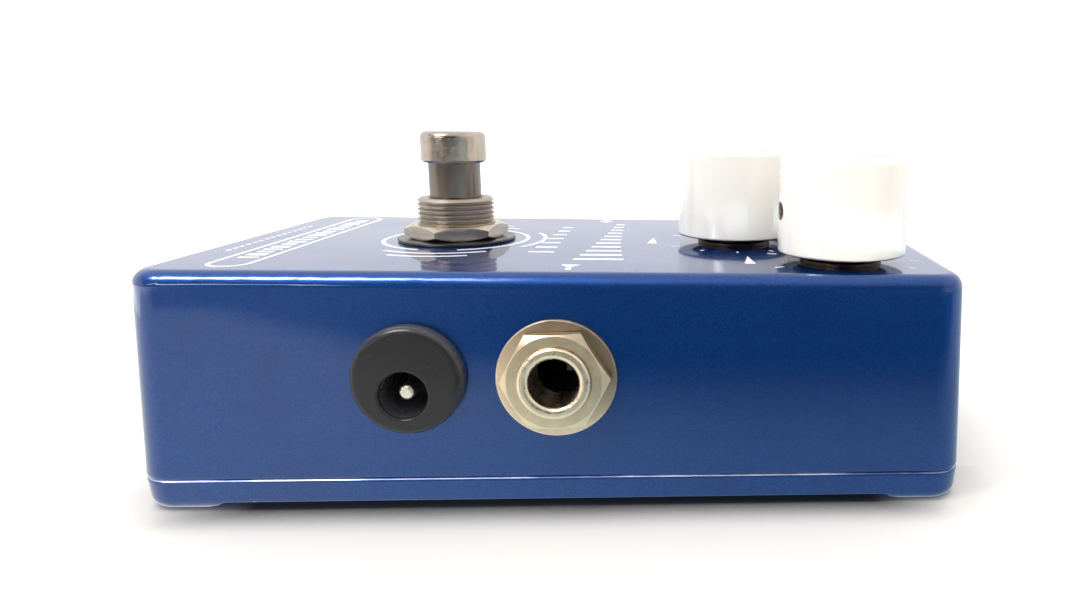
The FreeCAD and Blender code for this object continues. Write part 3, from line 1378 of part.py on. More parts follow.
doc.recompute()
problems = []
for obj in doc.Objects:
    if "Invalid" in obj.State or "Error" in obj.State:
        problems.append("%s: %s" % (obj.Label, obj.State))
for obj in NODES:
    shape = obj.Shape
    if shape.isNull() or not shape.isValid() or not shape.Solids:
        problems.append("%s has no valid solid" % obj.Label)
if problems:
    raise ValueError("; ".join(problems))

os.makedirs("parts", exist_ok=True)
for obj in NODES:
    obj.Shape.exportStep("parts/%s.step" % obj.Label)
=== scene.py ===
import json
import math

import bmesh
import bpy
from mathutils import Matrix, Vector


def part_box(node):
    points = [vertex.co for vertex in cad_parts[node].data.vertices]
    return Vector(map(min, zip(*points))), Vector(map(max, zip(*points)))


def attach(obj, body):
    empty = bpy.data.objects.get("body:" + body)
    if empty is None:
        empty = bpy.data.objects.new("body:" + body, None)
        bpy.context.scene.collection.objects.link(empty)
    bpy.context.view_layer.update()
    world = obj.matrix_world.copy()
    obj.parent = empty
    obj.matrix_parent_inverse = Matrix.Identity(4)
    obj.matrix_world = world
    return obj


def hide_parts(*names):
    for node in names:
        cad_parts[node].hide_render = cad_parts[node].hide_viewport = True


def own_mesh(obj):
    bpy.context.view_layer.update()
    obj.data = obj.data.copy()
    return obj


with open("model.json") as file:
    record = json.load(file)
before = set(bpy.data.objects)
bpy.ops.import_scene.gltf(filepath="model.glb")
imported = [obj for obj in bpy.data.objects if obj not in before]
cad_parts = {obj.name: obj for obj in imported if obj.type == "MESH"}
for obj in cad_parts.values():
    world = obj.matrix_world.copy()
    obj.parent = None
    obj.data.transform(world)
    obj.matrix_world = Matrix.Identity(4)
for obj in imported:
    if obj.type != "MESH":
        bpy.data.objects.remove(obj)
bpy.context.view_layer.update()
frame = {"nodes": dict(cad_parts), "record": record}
MM = 0.001
nodes = frame["nodes"]
scene = bpy.context.scene

# ------------------------------------------------------------------ node material helpers


class Mat:
    """One procedural material: a thin wrapper that makes node wiring short."""

    def __init__(self, name):
        self.m = bpy.data.materials.new(name)
        self.m.use_nodes = True
        self.t = self.m.node_tree
        self.t.nodes.clear()
        self.out = self.t.nodes.new("ShaderNodeOutputMaterial")
        self.b = self.t.nodes.new("ShaderNodeBsdfPrincipled")
        self.t.links.new(self.b.outputs["BSDF"], self.out.inputs["Surface"])
        self.coord = self.t.nodes.new("ShaderNodeTexCoord")

    def n(self, kind, **values):
        node = self.t.nodes.new("ShaderNode" + kind)
        for k, v in values.items():
            if hasattr(node, k) and k not in node.inputs:
                setattr(node, k, v)
            else:
                self.put(node.inputs[k], v)
        return node

    def put(self, socket, value):
        if isinstance(value, bpy.types.NodeSocket):
            self.t.links.new(value, socket)
        elif isinstance(value, (tuple, list)) and len(value) == 3 and socket.type == "RGBA":
            socket.default_value = (*value, 1.0)
        else:
            socket.default_value = value

    def set(self, **values):
        for k, v in values.items():
            self.put(self.b.inputs[k.replace("_", " ")], v)
        return self

    def where(self, scale=(1, 1, 1), offset=(0, 0, 0), rotation=(0, 0, 0)):
        """Position in the object's own space, in metres, scaled."""
        node = self.t.nodes.new("ShaderNodeMapping")
        self.t.links.new(self.coord.outputs["Object"], node.inputs["Vector"])
        node.inputs["Location"].default_value = offset
        node.inputs["Rotation"].default_value = rotation
        node.inputs["Scale"].default_value = scale
        return node.outputs["Vector"]

    def noise(self, size_mm, detail=3.0, rough=0.5, stretch=(1, 1, 1), offset=(0, 0, 0)):
        s = 1.0 / (size_mm * MM)
        return self.n("TexNoise", Vector=self.where(stretch, offset), Scale=s, Detail=detail, Roughness=rough).outputs["Fac"]

    def ramp(self, value, stops):
        node = self.t.nodes.new("ShaderNodeValToRGB")
        self.put(node.inputs["Fac"], value)
        e = node.color_ramp.elements
        while len(e) < len(stops):
            e.new(0.5)
        for k, (p, c) in enumerate(stops):
            e[k].position = p
            e[k].color = (c, c, c, 1) if not isinstance(c, (tuple, list)) else (*c, 1)
        return node.outputs["Color"]

    def maths(self, op, a, b=0.0, clamp=False):
        node = self.t.nodes.new("ShaderNodeMath")
        node.operation = op
        node.use_clamp = clamp
        self.put(node.inputs[0], a)
        self.put(node.inputs[1], b)
        return node.outputs[0]

    def spread(self, value, lo, hi, to_lo, to_hi):
        node = self.t.nodes.new("ShaderNodeMapRange")
        self.put(node.inputs["Value"], value)
        for k, v in (("From Min", lo), ("From Max", hi), ("To Min", to_lo), ("To Max", to_hi)):
            self.put(node.inputs[k], v)
        return node.outputs["Result"]

    def mix(self, fac, a, b):
        node = self.t.nodes.new("ShaderNodeMix")
        node.data_type = "RGBA"
        self.put(node.inputs["Factor"], fac)
        self.put(node.inputs[6], a)
        self.put(node.inputs[7], b)
        return node.outputs[2]

    def bump(self, height, strength, distance_mm, normal=None):
        node = self.t.nodes.new("ShaderNodeBump")
        self.put(node.inputs["Height"], height)
        self.put(node.inputs["Strength"], strength)
        self.put(node.inputs["Distance"], distance_mm * MM)
        if normal is not None:
            self.put(node.inputs["Normal"], normal)
        return node.outputs["Normal"]

    def soft_edge(self, radius_mm, samples=6):
        node = self.t.nodes.new("ShaderNodeBevel")
        node.samples = samples
        node.inputs["Radius"].default_value = radius_mm * MM
        return node.outputs["Normal"]

    def edge_mask(self, radius_mm, lo, hi):
        """1 at convex or concave edges, 0 on flats."""
        geo = self.t.nodes.new("ShaderNodeNewGeometry")
        dot = self.t.nodes.new("ShaderNodeVectorMath")
        dot.operation = "DOT_PRODUCT"
        self.t.links.new(self.soft_edge(radius_mm, 8), dot.inputs[0])
        self.t.links.new(geo.outputs["True Normal"], dot.inputs[1])
        return self.spread(dot.outputs["Value"], lo, hi, 1.0, 0.0)

    def axis(self, name):
        node = self.t.nodes.new("ShaderNodeSeparateXYZ")
        self.t.links.new(self.coord.outputs["Object"], node.inputs[0])
        return node.outputs[name]

    def radius_from(self, x, y):
        """Distance from an upright axis through (x, y), in metres."""
        a = self.maths("SUBTRACT", self.axis("X"), x)
        b = self.maths("SUBTRACT", self.axis("Y"), y)
        return self.maths("SQRT", self.maths("ADD", self.maths("MULTIPLY", a, a), self.maths("MULTIPLY", b, b)))


def metal(name, color, rough=0.22, lathe=None, grain=0.04, tarnish=0.25, scratch=0.3, edge=0.12):
    """Plated or turned metal: colour drift, roughness mottling, fine lathe lines along one axis, faint scratches."""
    m = Mat(name)
    drift = m.noise(3.5, 4.0, 0.6)
    dark = tuple(c * (1 - tarnish) for c in color)
    base = m.mix(m.ramp(drift, [(0.35, 0.0), (0.75, 1.0)]), color, dark)
    mottle = m.noise(0.7, 5.0, 0.65)
    m.set(Base_Color=base, Metallic=1.0, Roughness=m.spread(mottle, 0.3, 0.75, rough * 0.8, rough * 1.35))
    normal = m.soft_edge(edge) if edge else None
    if lathe:
        stretch = {"Z": (0.03, 0.03, 1), "X": (1, 0.03, 0.03), "Y": (0.03, 1, 0.03)}[lathe]
        normal = m.bump(m.noise(0.10, 2.0, 0.5, stretch), 0.35, grain * 0.25, normal)
    hair = m.n("TexNoise", Vector=m.where((6, 0.4, 3), (0.3, 0.1, 0.7), (0.4, 0.3, 0.8)), Scale=900.0, Detail=2.0).outputs["Fac"]
    normal = m.bump(m.ramp(hair, [(0.60, 0.0), (0.66, 1.0)]), scratch, 0.004, normal)
    m.set(Normal=normal)
    return m


def plastic(name, color, rough=0.4, drift=0.12, pebble=0.15, pebble_mm=0.25, coat=0.0, edge=0.12, sss=0.0, dusty=0.10, shine=0.5):
    """Moulded plastic or lacquer: slight colour drift, dust-fine pebble, gloss mottling."""
    m = Mat(name)
    darker = tuple(c * (1 - drift) for c in color)
    base = m.mix(m.noise(4.0, 4.0, 0.6), color, darker)
    dust = m.ramp(m.noise(0.5, 6.0, 0.7, offset=(3, 1, 2)), [(0.62, 0.0), (0.78, 1.0)])
    base = m.mix(m.maths("MULTIPLY", dust, dusty), base, (0.6, 0.58, 0.55))
    gloss = m.spread(m.noise(1.4, 4.0, 0.6), 0.3, 0.7, rough * 0.85, rough * 1.2)
    normal = m.bump(m.noise(pebble_mm, 3.0, 0.6), pebble, 0.02, m.soft_edge(edge))
    m.set(Base_Color=base, Roughness=gloss, Normal=normal)
    if shine != 0.5:
        m.set(Specular_IOR_Level=shine)
    if coat:
        m.set(Coat_Weight=coat, Coat_Roughness=0.06)
    if sss:
        m.set(Subsurface_Weight=sss, Subsurface_Radius=(0.9 * MM, 0.75 * MM, 0.5 * MM), Subsurface_Scale=1.0)
    return m


# ------------------------------------------------------------------ the materials of each part

# metallic blue enamel: flake layer under a clear coat, with worn chips along the edges
paint = Mat("case_enamel")
flake = paint.n("TexVoronoi", Vector=paint.where(), Scale=1.0 / (0.11 * MM), Randomness=1.0)
sparkle = paint.n("SeparateColor", Color=flake.outputs["Color"]).outputs["Red"]
sides = paint.mix(sparkle, (0.0035, 0.034, 0.165), (0.009, 0.068, 0.28))
cloud = paint.noise(14.0, 3.0, 0.5)
enamel = paint.mix(paint.spread(cloud, 0.3, 0.7, 0.0, 0.35), sides, (0.004, 0.036, 0.16))
chip_field = paint.noise(0.9, 5.0, 0.75, offset=(0.7, 0.2, 0.9))
# painted highlight: a bright line along the top rim of the cover, broken up by noise
rim_highlight = paint.maths("MULTIPLY", paint.spread(paint.axis("Z"), 4.22 * MM, 4.27 * MM, 0.0, 1.0), paint.spread(paint.axis("Z"), 4.452 * MM, 4.456 * MM, 1.0, 0.0))
rim_highlight = paint.maths("MULTIPLY", rim_highlight, paint.spread(paint.noise(16.0, 3.0, 0.6, offset=(2, 7, 1)), 0.40, 0.60, 0.10, 0.80))
enamel = paint.mix(rim_highlight, enamel, (0.62, 0.72, 0.95))
rare = paint.noise(9.0, 2.0, 0.5, offset=(0.1, 0.9, 0.4))
edge_zone = paint.edge_mask(0.55, 0.90, 0.985)
chips = paint.maths("MULTIPLY", paint.ramp(chip_field, [(0.585, 0.0), (0.61, 1.0)]), edge_zone)
chips = paint.maths("MULTIPLY", chips, paint.ramp(rare, [(0.52, 0.0), (0.56, 1.0)]))
enamel = paint.mix(chips, enamel, (0.72, 0.74, 0.78))
speck = paint.ramp(paint.noise(0.35, 3.0, 0.6, offset=(5, 5, 5)), [(0.74, 0.0), (0.77, 1.0)])
enamel = paint.mix(paint.maths("MULTIPLY", speck, 0.16), enamel, (0.20, 0.28, 0.50))
tilt = paint.n("TexVoronoi", Vector=paint.where(offset=(0.01, 0.02, 0.03)), Scale=1.0 / (0.09 * MM))
# the rims of the seam are slightly rounded
rim = paint.n("Bevel", samples=8, Radius=paint.spread(paint.axis("Z"), 5.2 * MM, 5.6 * MM, 0.32 * MM, 0.0)).outputs["Normal"]
flake_normal = paint.bump(paint.n("SeparateColor", Color=tilt.outputs["Color"]).outputs["Green"], 0.13, 0.010, rim)
peel = paint.bump(paint.noise(1.7, 2.0, 0.5), 0.07, 0.035, rim)
hairline = paint.n("TexNoise", Vector=paint.where((5, 0.3, 2), (0.2, 0.5, 0.1), (0.2, 0.5, 0.9)), Scale=700.0, Detail=2.0).outputs["Fac"]
peel = paint.bump(paint.ramp(hairline, [(0.67, 0.0), (0.70, 1.0)]), 0.12, 0.004, peel)
paint.set(
    Base_Color=enamel, Metallic=paint.maths("SUBTRACT", 0.75, chips, True), Roughness=paint.spread(cloud, 0.3, 0.7, 0.34, 0.44),
    Normal=flake_normal, Specular_IOR_Level=0.0, Coat_Weight=1.0, Coat_IOR=1.5,
    Coat_Roughness=paint.spread(paint.noise(6.0, 4.0, 0.6, offset=(1, 2, 3)), 0.3, 0.7, 0.03, 0.07),
    Coat_Normal=peel,
)

nickel = metal("warm_nickel", (0.66, 0.56, 0.44), 0.20, None, 0.03, 0.18, 0.25, 0.14)
nickel_turned = metal("turned_nickel", (0.56, 0.485, 0.41), 0.19, "Z", 0.03, 0.22, 0.15, 0.16)
# painted shade: the stem below the cap is coloured darker than the cap
cap_tone = nickel_turned.b.inputs["Base Color"].links[0].from_socket
on_cap = nickel_turned.spread(nickel_turned.axis("Z"), 44.9 * MM, 45.05 * MM, 0.0, 1.0)
nickel_turned.set(Base_Color=nickel_turned.mix(on_cap, (0.195, 0.165, 0.145), cap_tone),
                  Roughness=nickel_turned.spread(nickel_turned.noise(0.7, 4.0, 0.6), 0.3, 0.7, 0.17, 0.27))
nickel_thread = metal("thread_nickel", (0.50, 0.435, 0.36), 0.34, None, 0.02, 0.12, 0.0, 0.0)
jack_metal = metal("jack_nickel", (0.93, 0.79, 0.585), 0.29, None, 0.03, 0.14, 0.0, 0.0)
jack_nut_metal = metal("jack_nut_nickel", (0.86, 0.705, 0.49), 0.34, None, 0.03, 0.24, 0.22, 0.12)
washer_metal = metal("washer_nickel", (0.93, 0.76, 0.55), 0.44, None, 0.03, 0.10, 0.20, 0.12)
# painted shade: the washer is darker towards its upper right
unshaded_tone = washer_metal.b.inputs["Base Color"].links[0].from_socket
jack_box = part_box("input_jack_frame")
jack_y, jack_z = (jack_box[0].y + jack_box[1].y) / 2, (jack_box[0].z + jack_box[1].z) / 2
aslant = washer_metal.maths("ADD", washer_metal.maths("MULTIPLY", washer_metal.axis("Y"), 0.6), washer_metal.maths("MULTIPLY", washer_metal.axis("Z"), 0.8))
middle = 0.6 * jack_y + 0.8 * jack_z
painted_shade_ramp = washer_metal.spread(aslant, middle - 2.5 * MM, middle + 6.0 * MM, 0.0, 1.0)
washer_metal.set(Base_Color=washer_metal.mix(painted_shade_ramp, unshaded_tone, (0.36, 0.29, 0.215)))
pin_metal = metal("pin_nickel", (0.86, 0.80, 0.68), 0.32, None, 0.02, 0.10, 0.10, 0.10)
bright_zinc = metal("bright_zinc", (0.62, 0.63, 0.64), 0.32, None, 0.03, 0.2, 0.3, 0.1)
dark_screw = metal("dark_screw_steel", (0.12, 0.12, 0.13), 0.34, "Z", 0.03, 0.3, 0.3, 0.1)
bronze = metal("tarnished_bronze", (0.30, 0.21, 0.12), 0.30, None, 0.03, 0.4, 0.3, 0.12)
# darker copy of the bronze: painted shade for the pot nuts, washers and bushings in the gap under the knobs
bronze_shaded = metal("blackened_bronze", (0.10, 0.072, 0.052), 0.36, None, 0.03, 0.4, 0.3, 0.12)
tinned = metal("tinned_contact", (0.76, 0.74, 0.68), 0.30, None, 0.03, 0.18, 0.25, 0.05)
brass = metal("turned_brass", (0.74, 0.52, 0.22), 0.24, "Z", 0.03, 0.2, 0.2, 0.1)
aluminium = metal("turned_aluminium", (0.77, 0.77, 0.78), 0.26, "Z", 0.03, 0.12, 0.2, 0.1)

black_gloss = plastic("socket_black", (0.016, 0.016, 0.018), 0.24, 0.2, 0.06, 0.4, 0.0, 0.2, 0.0, 0.04, 0.36)
# painted light: the socket is lighter behind its front face, inside the hole
painted_light_inside = black_gloss.spread(black_gloss.axis("X"), 30.8 * MM, 31.4 * MM, 1.0, 0.0)
black_gloss.set(Base_Color=black_gloss.mix(painted_light_inside, black_gloss.b.inputs["Base Color"].links[0].from_socket, (0.060, 0.058, 0.066)))
black_washer = plastic("washer_black", (0.014, 0.013, 0.013), 0.30, 0.2, 0.12, 0.3, 0.2, 0.1)
knob_white = plastic("knob_white", (0.865, 0.832, 0.762), 0.16, 0.04, 0.02, 0.9, 1.0, 0.18, 0.12)
# painted shade from ambient occlusion in the grub-screw hole and under the skirt
shade_ao = knob_white.n("AmbientOcclusion", samples=8, Distance=3.0 * MM)
knob_tone = knob_white.b.inputs["Base Color"].links[0].from_socket
knob_white.set(Base_Color=knob_white.mix(knob_white.spread(shade_ao.outputs["AO"], 0.45, 0.85, 0.0, 1.0), (0.045, 0.038, 0.032), knob_tone))
switch_blue = plastic("switch_blue_plastic", (0.035, 0.13, 0.42), 0.42, 0.15, 0.2, 0.3)
ivory = plastic("works_ivory_plastic", (0.78, 0.76, 0.68), 0.45, 0.1, 0.2, 0.3)
phenolic = plastic("phenolic_laminate", (0.30, 0.15, 0.06), 0.5, 0.35, 0.3, 0.5)
chip_black = plastic("chip_epoxy", (0.030, 0.030, 0.032), 0.55, 0.2, 0.4, 0.15)
cap_coat = plastic("capacitor_sleeve", (0.26, 0.035, 0.030), 0.28, 0.2, 0.1, 0.5, 0.3)
resistor_coat = plastic("resistor_lacquer", (0.36, 0.50, 0.58), 0.3, 0.2, 0.15, 0.3, 0.3)
red_wire = plastic("red_insulation", (0.50, 0.020, 0.018), 0.35, 0.15, 0.1, 0.3)
green_wire = plastic("green_insulation", (0.05, 0.30, 0.11), 0.35, 0.15, 0.1, 0.3)

# circuit board: solder mask with lighter tracks showing through
board = Mat("board_laminate")
grid = board.n("TexBrick", Vector=board.where((1, 1, 1)), Scale=1.0 / (7.0 * MM), Color1=(0.02, 0.16, 0.07), Color2=(0.03, 0.20, 0.09), Mortar=(0.10, 0.34, 0.16))
board.set(Base_Color=grid.outputs["Color"], Roughness=board.spread(board.noise(1.0, 3, 0.6), 0.3, 0.7, 0.28, 0.42),
          Normal=board.bump(grid.outputs["Fac"], 0.4, 0.03))

# battery can: dark wrap with a plain copper-coloured band
can = Mat("battery_wrap")
bands = can.ramp(can.spread(can.axis("X"), -26 * MM, 23 * MM, 0.0, 1.0), [(0.0, (0.03, 0.03, 0.035)), (0.66, (0.035, 0.035, 0.04)), (0.68, (0.62, 0.36, 0.16)), (0.94, (0.60, 0.34, 0.15))])
can.set(Base_Color=bands, Metallic=0.55, Roughness=can.spread(can.noise(2.0, 4, 0.6), 0.3, 0.7, 0.25, 0.4),
        Normal=can.bump(can.noise(6.0, 2.0, 0.5), 0.15, 0.2, can.soft_edge(0.3)))

# open-cell foam
foam = Mat("foam_grey")
cells = foam.n("TexVoronoi", Vector=foam.where(), Scale=1.0 / (0.7 * MM))
foam.set(Base_Color=foam.ramp(cells.outputs["Distance"], [(0.1, 0.015), (0.6, 0.075)]), Roughness=0.95, Normal=foam.bump(cells.outputs["Distance"], 1.0, 0.5))

# clear lamp resin
lamp = Mat("lamp_resin")
lamp.set(Base_Color=lamp.mix(lamp.noise(2.0, 2, 0.5), (0.80, 0.88, 0.98), (0.70, 0.82, 0.98)), Transmission_Weight=0.85, IOR=1.5,
         Roughness=lamp.spread(lamp.noise(0.8, 3, 0.5), 0.3, 0.7, 0.05, 0.10), Normal=lamp.bump(lamp.noise(1.2, 2, 0.5), 0.05, 0.05))

# white screen print, slightly broken where it has worn
ink = Mat("white_print")
ink.set(Base_Color=ink.mix(ink.ramp(ink.noise(0.6, 4, 0.7), [(0.35, 0.0), (0.75, 1.0)]), (0.86, 0.87, 0.88), (0.66, 0.69, 0.76)), Roughness=0.38,
        Normal=ink.bump(ink.noise(0.25, 3, 0.6), 0.2, 0.01), Coat_Weight=0.6, Coat_Roughness=0.08)

by_slot = {
    "case_paint": paint, "screw_steel": dark_screw, "nickel": nickel, "spring_steel": bright_zinc, "black_washer": black_washer,
    "switch_plastic": switch_blue, "tinned_contact": tinned, "works_plastic": ivory, "dark_bronze": bronze, "phenolic": phenolic,
    "socket_black": black_gloss, "lamp_resin": lamp, "board_laminate": board, "chip_black": chip_black, "capacitor_film": cap_coat,
    "resistor_coat": resistor_coat, "battery_case": can, "foam": foam, "red_wire": red_wire, "green_wire": green_wire,
    "knob_white": knob_white, "brass": brass, "shaft_metal": aluminium,
}
by_node = {
    "footswitch_plunger": nickel_turned, "footswitch_bushing": nickel_thread, "jack_washers": washer_metal, "dc_jack_pin": pin_metal,
    "input_jack_frame": jack_metal, "output_jack_frame": jack_metal, "jack_nuts": jack_nut_metal,
    "input_jack_insulators": black_washer, "output_jack_insulators": black_washer, "pot_nuts": bronze_shaded, "pot_washers": bronze_shaded, "pot_bushings": bronze_shaded,
}
slot_of = {s["node"]: s["material_slot"] for s in frame["record"]["subparts"]}
for name, obj in nodes.items():
    m = by_node.get(name) or by_slot[slot_of[name]]
    obj.data.materials.clear()
    obj.data.materials.append(m.m)

# ------------------------------------------------------------------ pieces made here

top_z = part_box("enclosure_body")[1].z


def piece(name, bm, material, body="case", smooth=True):
    mesh = bpy.data.meshes.new(name)
    bmesh.ops.recalc_face_normals(bm, faces=bm.faces)
    bm.to_mesh(mesh)
    bm.free()
    obj = bpy.data.objects.new(name, mesh)
    scene.collection.objects.link(obj)
    mesh.materials.append(material.m)
    for p in mesh.polygons:
        p.use_smooth = smooth
    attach(obj, body)
    return obj


INK = 0.035  # thickness of the print, mm


def slab(bm, outline, z0=0.0, thickness=INK):
    """Filled flat shape with square edges, from an outline in mm on the box top."""
    low = [bm.verts.new((x * MM, y * MM, top_z + z0 * MM)) for x, y in outline]
    high = [bm.verts.new((x * MM, y * MM, top_z + (z0 + thickness) * MM)) for x, y in outline]
    bm.faces.new(list(reversed(low)))
    bm.faces.new(high)
    n = len(outline)
    for i in range(n):
        bm.faces.new((low[i], low[(i + 1) % n], high[(i + 1) % n], high[i]))


def line(bm, points, width, closed=False, thickness=INK):
    """Printed line of constant width with mitred bends."""
    n = len(points)
    left, right = [], []
    for i, p in enumerate(points):
        p = Vector(p)
        a = Vector(points[i - 1]) if (i > 0 or closed) else None
        b = Vector(points[(i + 1) % n]) if (i < n - 1 or closed) else None
        d1 = (p - a).normalized() if a is not None else (b - p).normalized()
        d2 = (b - p).normalized() if b is not None else d1
        t = (d1 + d2).normalized()
        normal = Vector((-t.y, t.x))
        reach = width / 2 / max(0.5, normal.dot(Vector((-d1.y, d1.x))))
        left.append(p + normal * reach)
        right.append(p - normal * reach)
    zs = (top_z, top_z + thickness * MM)
    rows = [[bm.verts.new((q.x * MM, q.y * MM, z)) for q in side] for side in (left, right) for z in zs]
    ll, lh, rl, rh = rows
    for i in range(n if closed else n - 1):
        j = (i + 1) % n
        bm.faces.new((lh[i], rh[i], rh[j], lh[j]))
        bm.faces.new((ll[i], ll[j], rl[j], rl[i]))
        bm.faces.new((ll[i], lh[i], lh[j], ll[j]))
        bm.faces.new((rl[i], rl[j], rh[j], rh[i]))
    if not closed:
        for k in (0, n - 1):
            bm.faces.new((ll[k], lh[k], rh[k], rl[k]))


def arc(cx, cy, r, a0, a1, n=24):
    return [(cx + r * math.cos(math.radians(a0 + (a1 - a0) * i / n)), cy + r * math.sin(math.radians(a0 + (a1 - a0) * i / n))) for i in range(n + 1)]


def capsule(x0, x1, y, r, n=14):
    """Long rounded outline along X."""
    return arc(x1 - r, y, r, -90, 90, n) + arc(x0 + r, y, r, 90, 270, n)


# rounded band across the player's end, outlined, with a row of plain bars in it
bm = bmesh.new()
line(bm, capsule(-25.0, 25.4, -44.6, 2.6), 0.55, closed=True)
piece("print_band", bm, ink, smooth=False)
bm = bmesh.new()
x = -21.5
widths = [1.5, 0.8, 1.5, 1.1, 0.8, 1.5, 0.8, 1.1, 1.5, 1.1, 0.8, 1.5, 1.1, 1.5, 0.8, 1.1, 1.5, 0.8]
for k, w in enumerate(widths):
    h = 1.35 if k % 3 else 1.05
    slab(bm, [(x, -44.6 - h), (x + w, -44.6 - h), (x + w, -44.6 + h), (x, -44.6 + h)])
    x += w + 1.15
piece("print_band_bars", bm, ink, smooth=False)
# fine dotted rule beyond it
bm = bmesh.new()
for k in range(15):
    slab(bm, [(-13.0 + 1.8 * k, -50.6), (-12.0 + 1.8 * k, -50.6), (-12.0 + 1.8 * k, -50.1), (-13.0 + 1.8 * k, -50.1)])
piece("print_rule", bm, ink, smooth=False)
# open rings round the stomp switch
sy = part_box("footswitch_washer")
cx, cy = (sy[0].x + sy[1].x) / 2 / MM, (sy[0].y + sy[1].y) / 2 / MM
bm = bmesh.new()
for r, a0, a1 in ((11.2, 15, 165), (11.2, 195, 345), (14.0, -32, 32), (14.0, 148, 212), (14.0, 58, 122), (16.6, -20, 20), (16.6, 160, 200)):
    line(bm, arc(cx, cy, r, a0, a1, 40), 0.6)
piece("print_switch_rings", bm, ink, smooth=False)
# two rows of fading bars between switch and knobs
bm = bmesh.new()
for k in range(11):
    h = 3.6 * (0.86 ** k)
    px = 18.0 - 3.7 * k
    slab(bm, [(px - 0.55, 3.8 - h), (px + 0.55, 3.8 - h), (px + 0.55, 3.8 + h), (px - 0.55, 3.8 + h)])
for k in range(7):
    h = 1.9 * (0.88 ** k)
    px = 12.0 - 4.4 * k
    slab(bm, [(px - 0.45, -5.4 - h), (px + 0.45, -5.4 - h), (px + 0.45, -5.4 + h), (px - 0.45, -5.4 + h)])
piece("print_fading_bars", bm, ink, smooth=False)
# arrowheads by the two jacks, pointing in and out
bm = bmesh.new()
slab(bm, [(24.6, 0.6), (22.4, 2.0), (22.4, -0.8)][::-1])
slab(bm, [(25.9, 1.0), (24.9, 1.0), (24.9, 0.2), (25.9, 0.2)][::-1])
slab(bm, [(-25.6, 0.6), (-23.4, 2.0), (-23.4, -0.8)])
slab(bm, [(-23.2, 1.0), (-22.2, 1.0), (-22.2, 0.2), (-23.2, 0.2)][::-1])
piece("print_jack_arrows", bm, ink, smooth=False)
# dial ticks round each knob, and a small level wedge on the player's side
bm = bmesh.new()
for tag in ("delay", "repeat", "mix"):
    lo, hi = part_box(tag + "_shaft")
    kx, ky = (lo.x + hi.x) / 2 / MM, (lo.y + hi.y) / 2 / MM
    for k in range(11):
        a = math.radians(240 - 30 * k)
        r0, r1 = 10.4, 11.3 if k not in (0, 5, 10) else 11.9
        if abs(kx + r1 * math.cos(a)) > 27.0 or abs(ky + r1 * math.sin(a)) > 53.0:
            continue
        line(bm, [(kx + r0 * math.cos(a), ky + r0 * math.sin(a)), (kx + r1 * math.cos(a), ky + r1 * math.sin(a))], 0.35)
    slab(bm, [(kx - 3.0, ky - 13.6), (kx + 3.0, ky - 14.4), (kx + 3.0, ky - 12.8)])
piece("print_dial_ticks", bm, ink, smooth=False)

# return spring drawn as a coil
lo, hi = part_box("footswitch_spring")
scx, scy = 0.0, (lo.y + hi.y) / 2
z0, z1 = lo.z + 0.28 * MM, hi.z - 0.28 * MM
bm = bmesh.new()
turns, seg, sides_n, wire_r, coil_r = 5.0, 28, 8, 0.28 * MM, 3.42 * MM
total = int(turns * seg)
rings = []
for i in range(total + 1):
    a = 2 * math.pi * i / seg
    c = Vector((scx + coil_r * math.cos(a), scy + coil_r * math.sin(a), z0 + (z1 - z0) * i / total))
    out_dir = Vector((math.cos(a), math.sin(a), 0))
    rings.append([bm.verts.new(c + out_dir * wire_r * math.cos(b) + Vector((0, 0, 1)) * wire_r * math.sin(b)) for b in (2 * math.pi * k / sides_n for k in range(sides_n))])
for i in range(total):
    for k in range(sides_n):
        k2 = (k + 1) % sides_n
        bm.faces.new((rings[i][k], rings[i][k2], rings[i + 1][k2], rings[i + 1][k]))
bm.faces.new(rings[0])
bm.faces.new(list(reversed(rings[-1])))
spring = piece("return_spring_coil", bm, bright_zinc)
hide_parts("footswitch_spring")
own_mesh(spring)

# ------------------------------------------------------------------ stage, light and camera


def plane(name, corners, material):
    mesh = bpy.data.meshes.new(name)
    mesh.from_pydata(corners, [], [(0, 1, 2, 3)])
    obj = bpy.data.objects.new(name, mesh)
    scene.collection.objects.link(obj)
    mesh.materials.append(material.m)
    return obj


floor_mat = Mat("pale_floor")
# painted shadow: ambient occlusion darkens the floor close to the case, in front of it; open_side keeps it off both
# ends
near_case = floor_mat.n("AmbientOcclusion", samples=12, Distance=0.009)
painted_shadow = floor_mat.spread(near_case.outputs["AO"], 0.47, 0.87, 0.02, 1.0)
open_side = floor_mat.maths("MAXIMUM", floor_mat.spread(floor_mat.axis("X"), 0.018, 0.027, 1.0, 0.0),
                            floor_mat.maths("ADD", floor_mat.spread(floor_mat.axis("Y"), -0.053, -0.041, 0.85, 0.0), floor_mat.spread(floor_mat.axis("Y"), 0.043, 0.054, 0.0, 0.9)))
painted_shadow = floor_mat.maths("MAXIMUM", painted_shadow, open_side)
tone = floor_mat.mix(floor_mat.noise(60.0, 3, 0.5), (0.66, 0.641, 0.615), (0.64, 0.621, 0.595))
floor_mat.set(Base_Color=floor_mat.mix(painted_shadow, (0.0, 0.0, 0.0), tone), Roughness=0.6, Normal=floor_mat.bump(floor_mat.noise(3.0, 4, 0.6), 0.08, 0.1))
wall_mat = Mat("pale_wall")
wall_mat.set(Base_Color=(0.80, 0.80, 0.80), Roughness=0.9, Emission_Color=(1.0, 1.0, 1.0, 1.0), Emission_Strength=0.85,
             Normal=wall_mat.bump(wall_mat.noise(2.2, 4, 0.6), 0.5, 0.5))


stage_values = []


def at_viewpoint(mat, here, elsewhere):
    """A value for the photograph's viewpoint and another for every other one."""
    node = mat.n("Value")
    node.outputs[0].default_value = here
    stage_values.append((mat.t, node.name, here, elsewhere))
    return node.outputs[0]


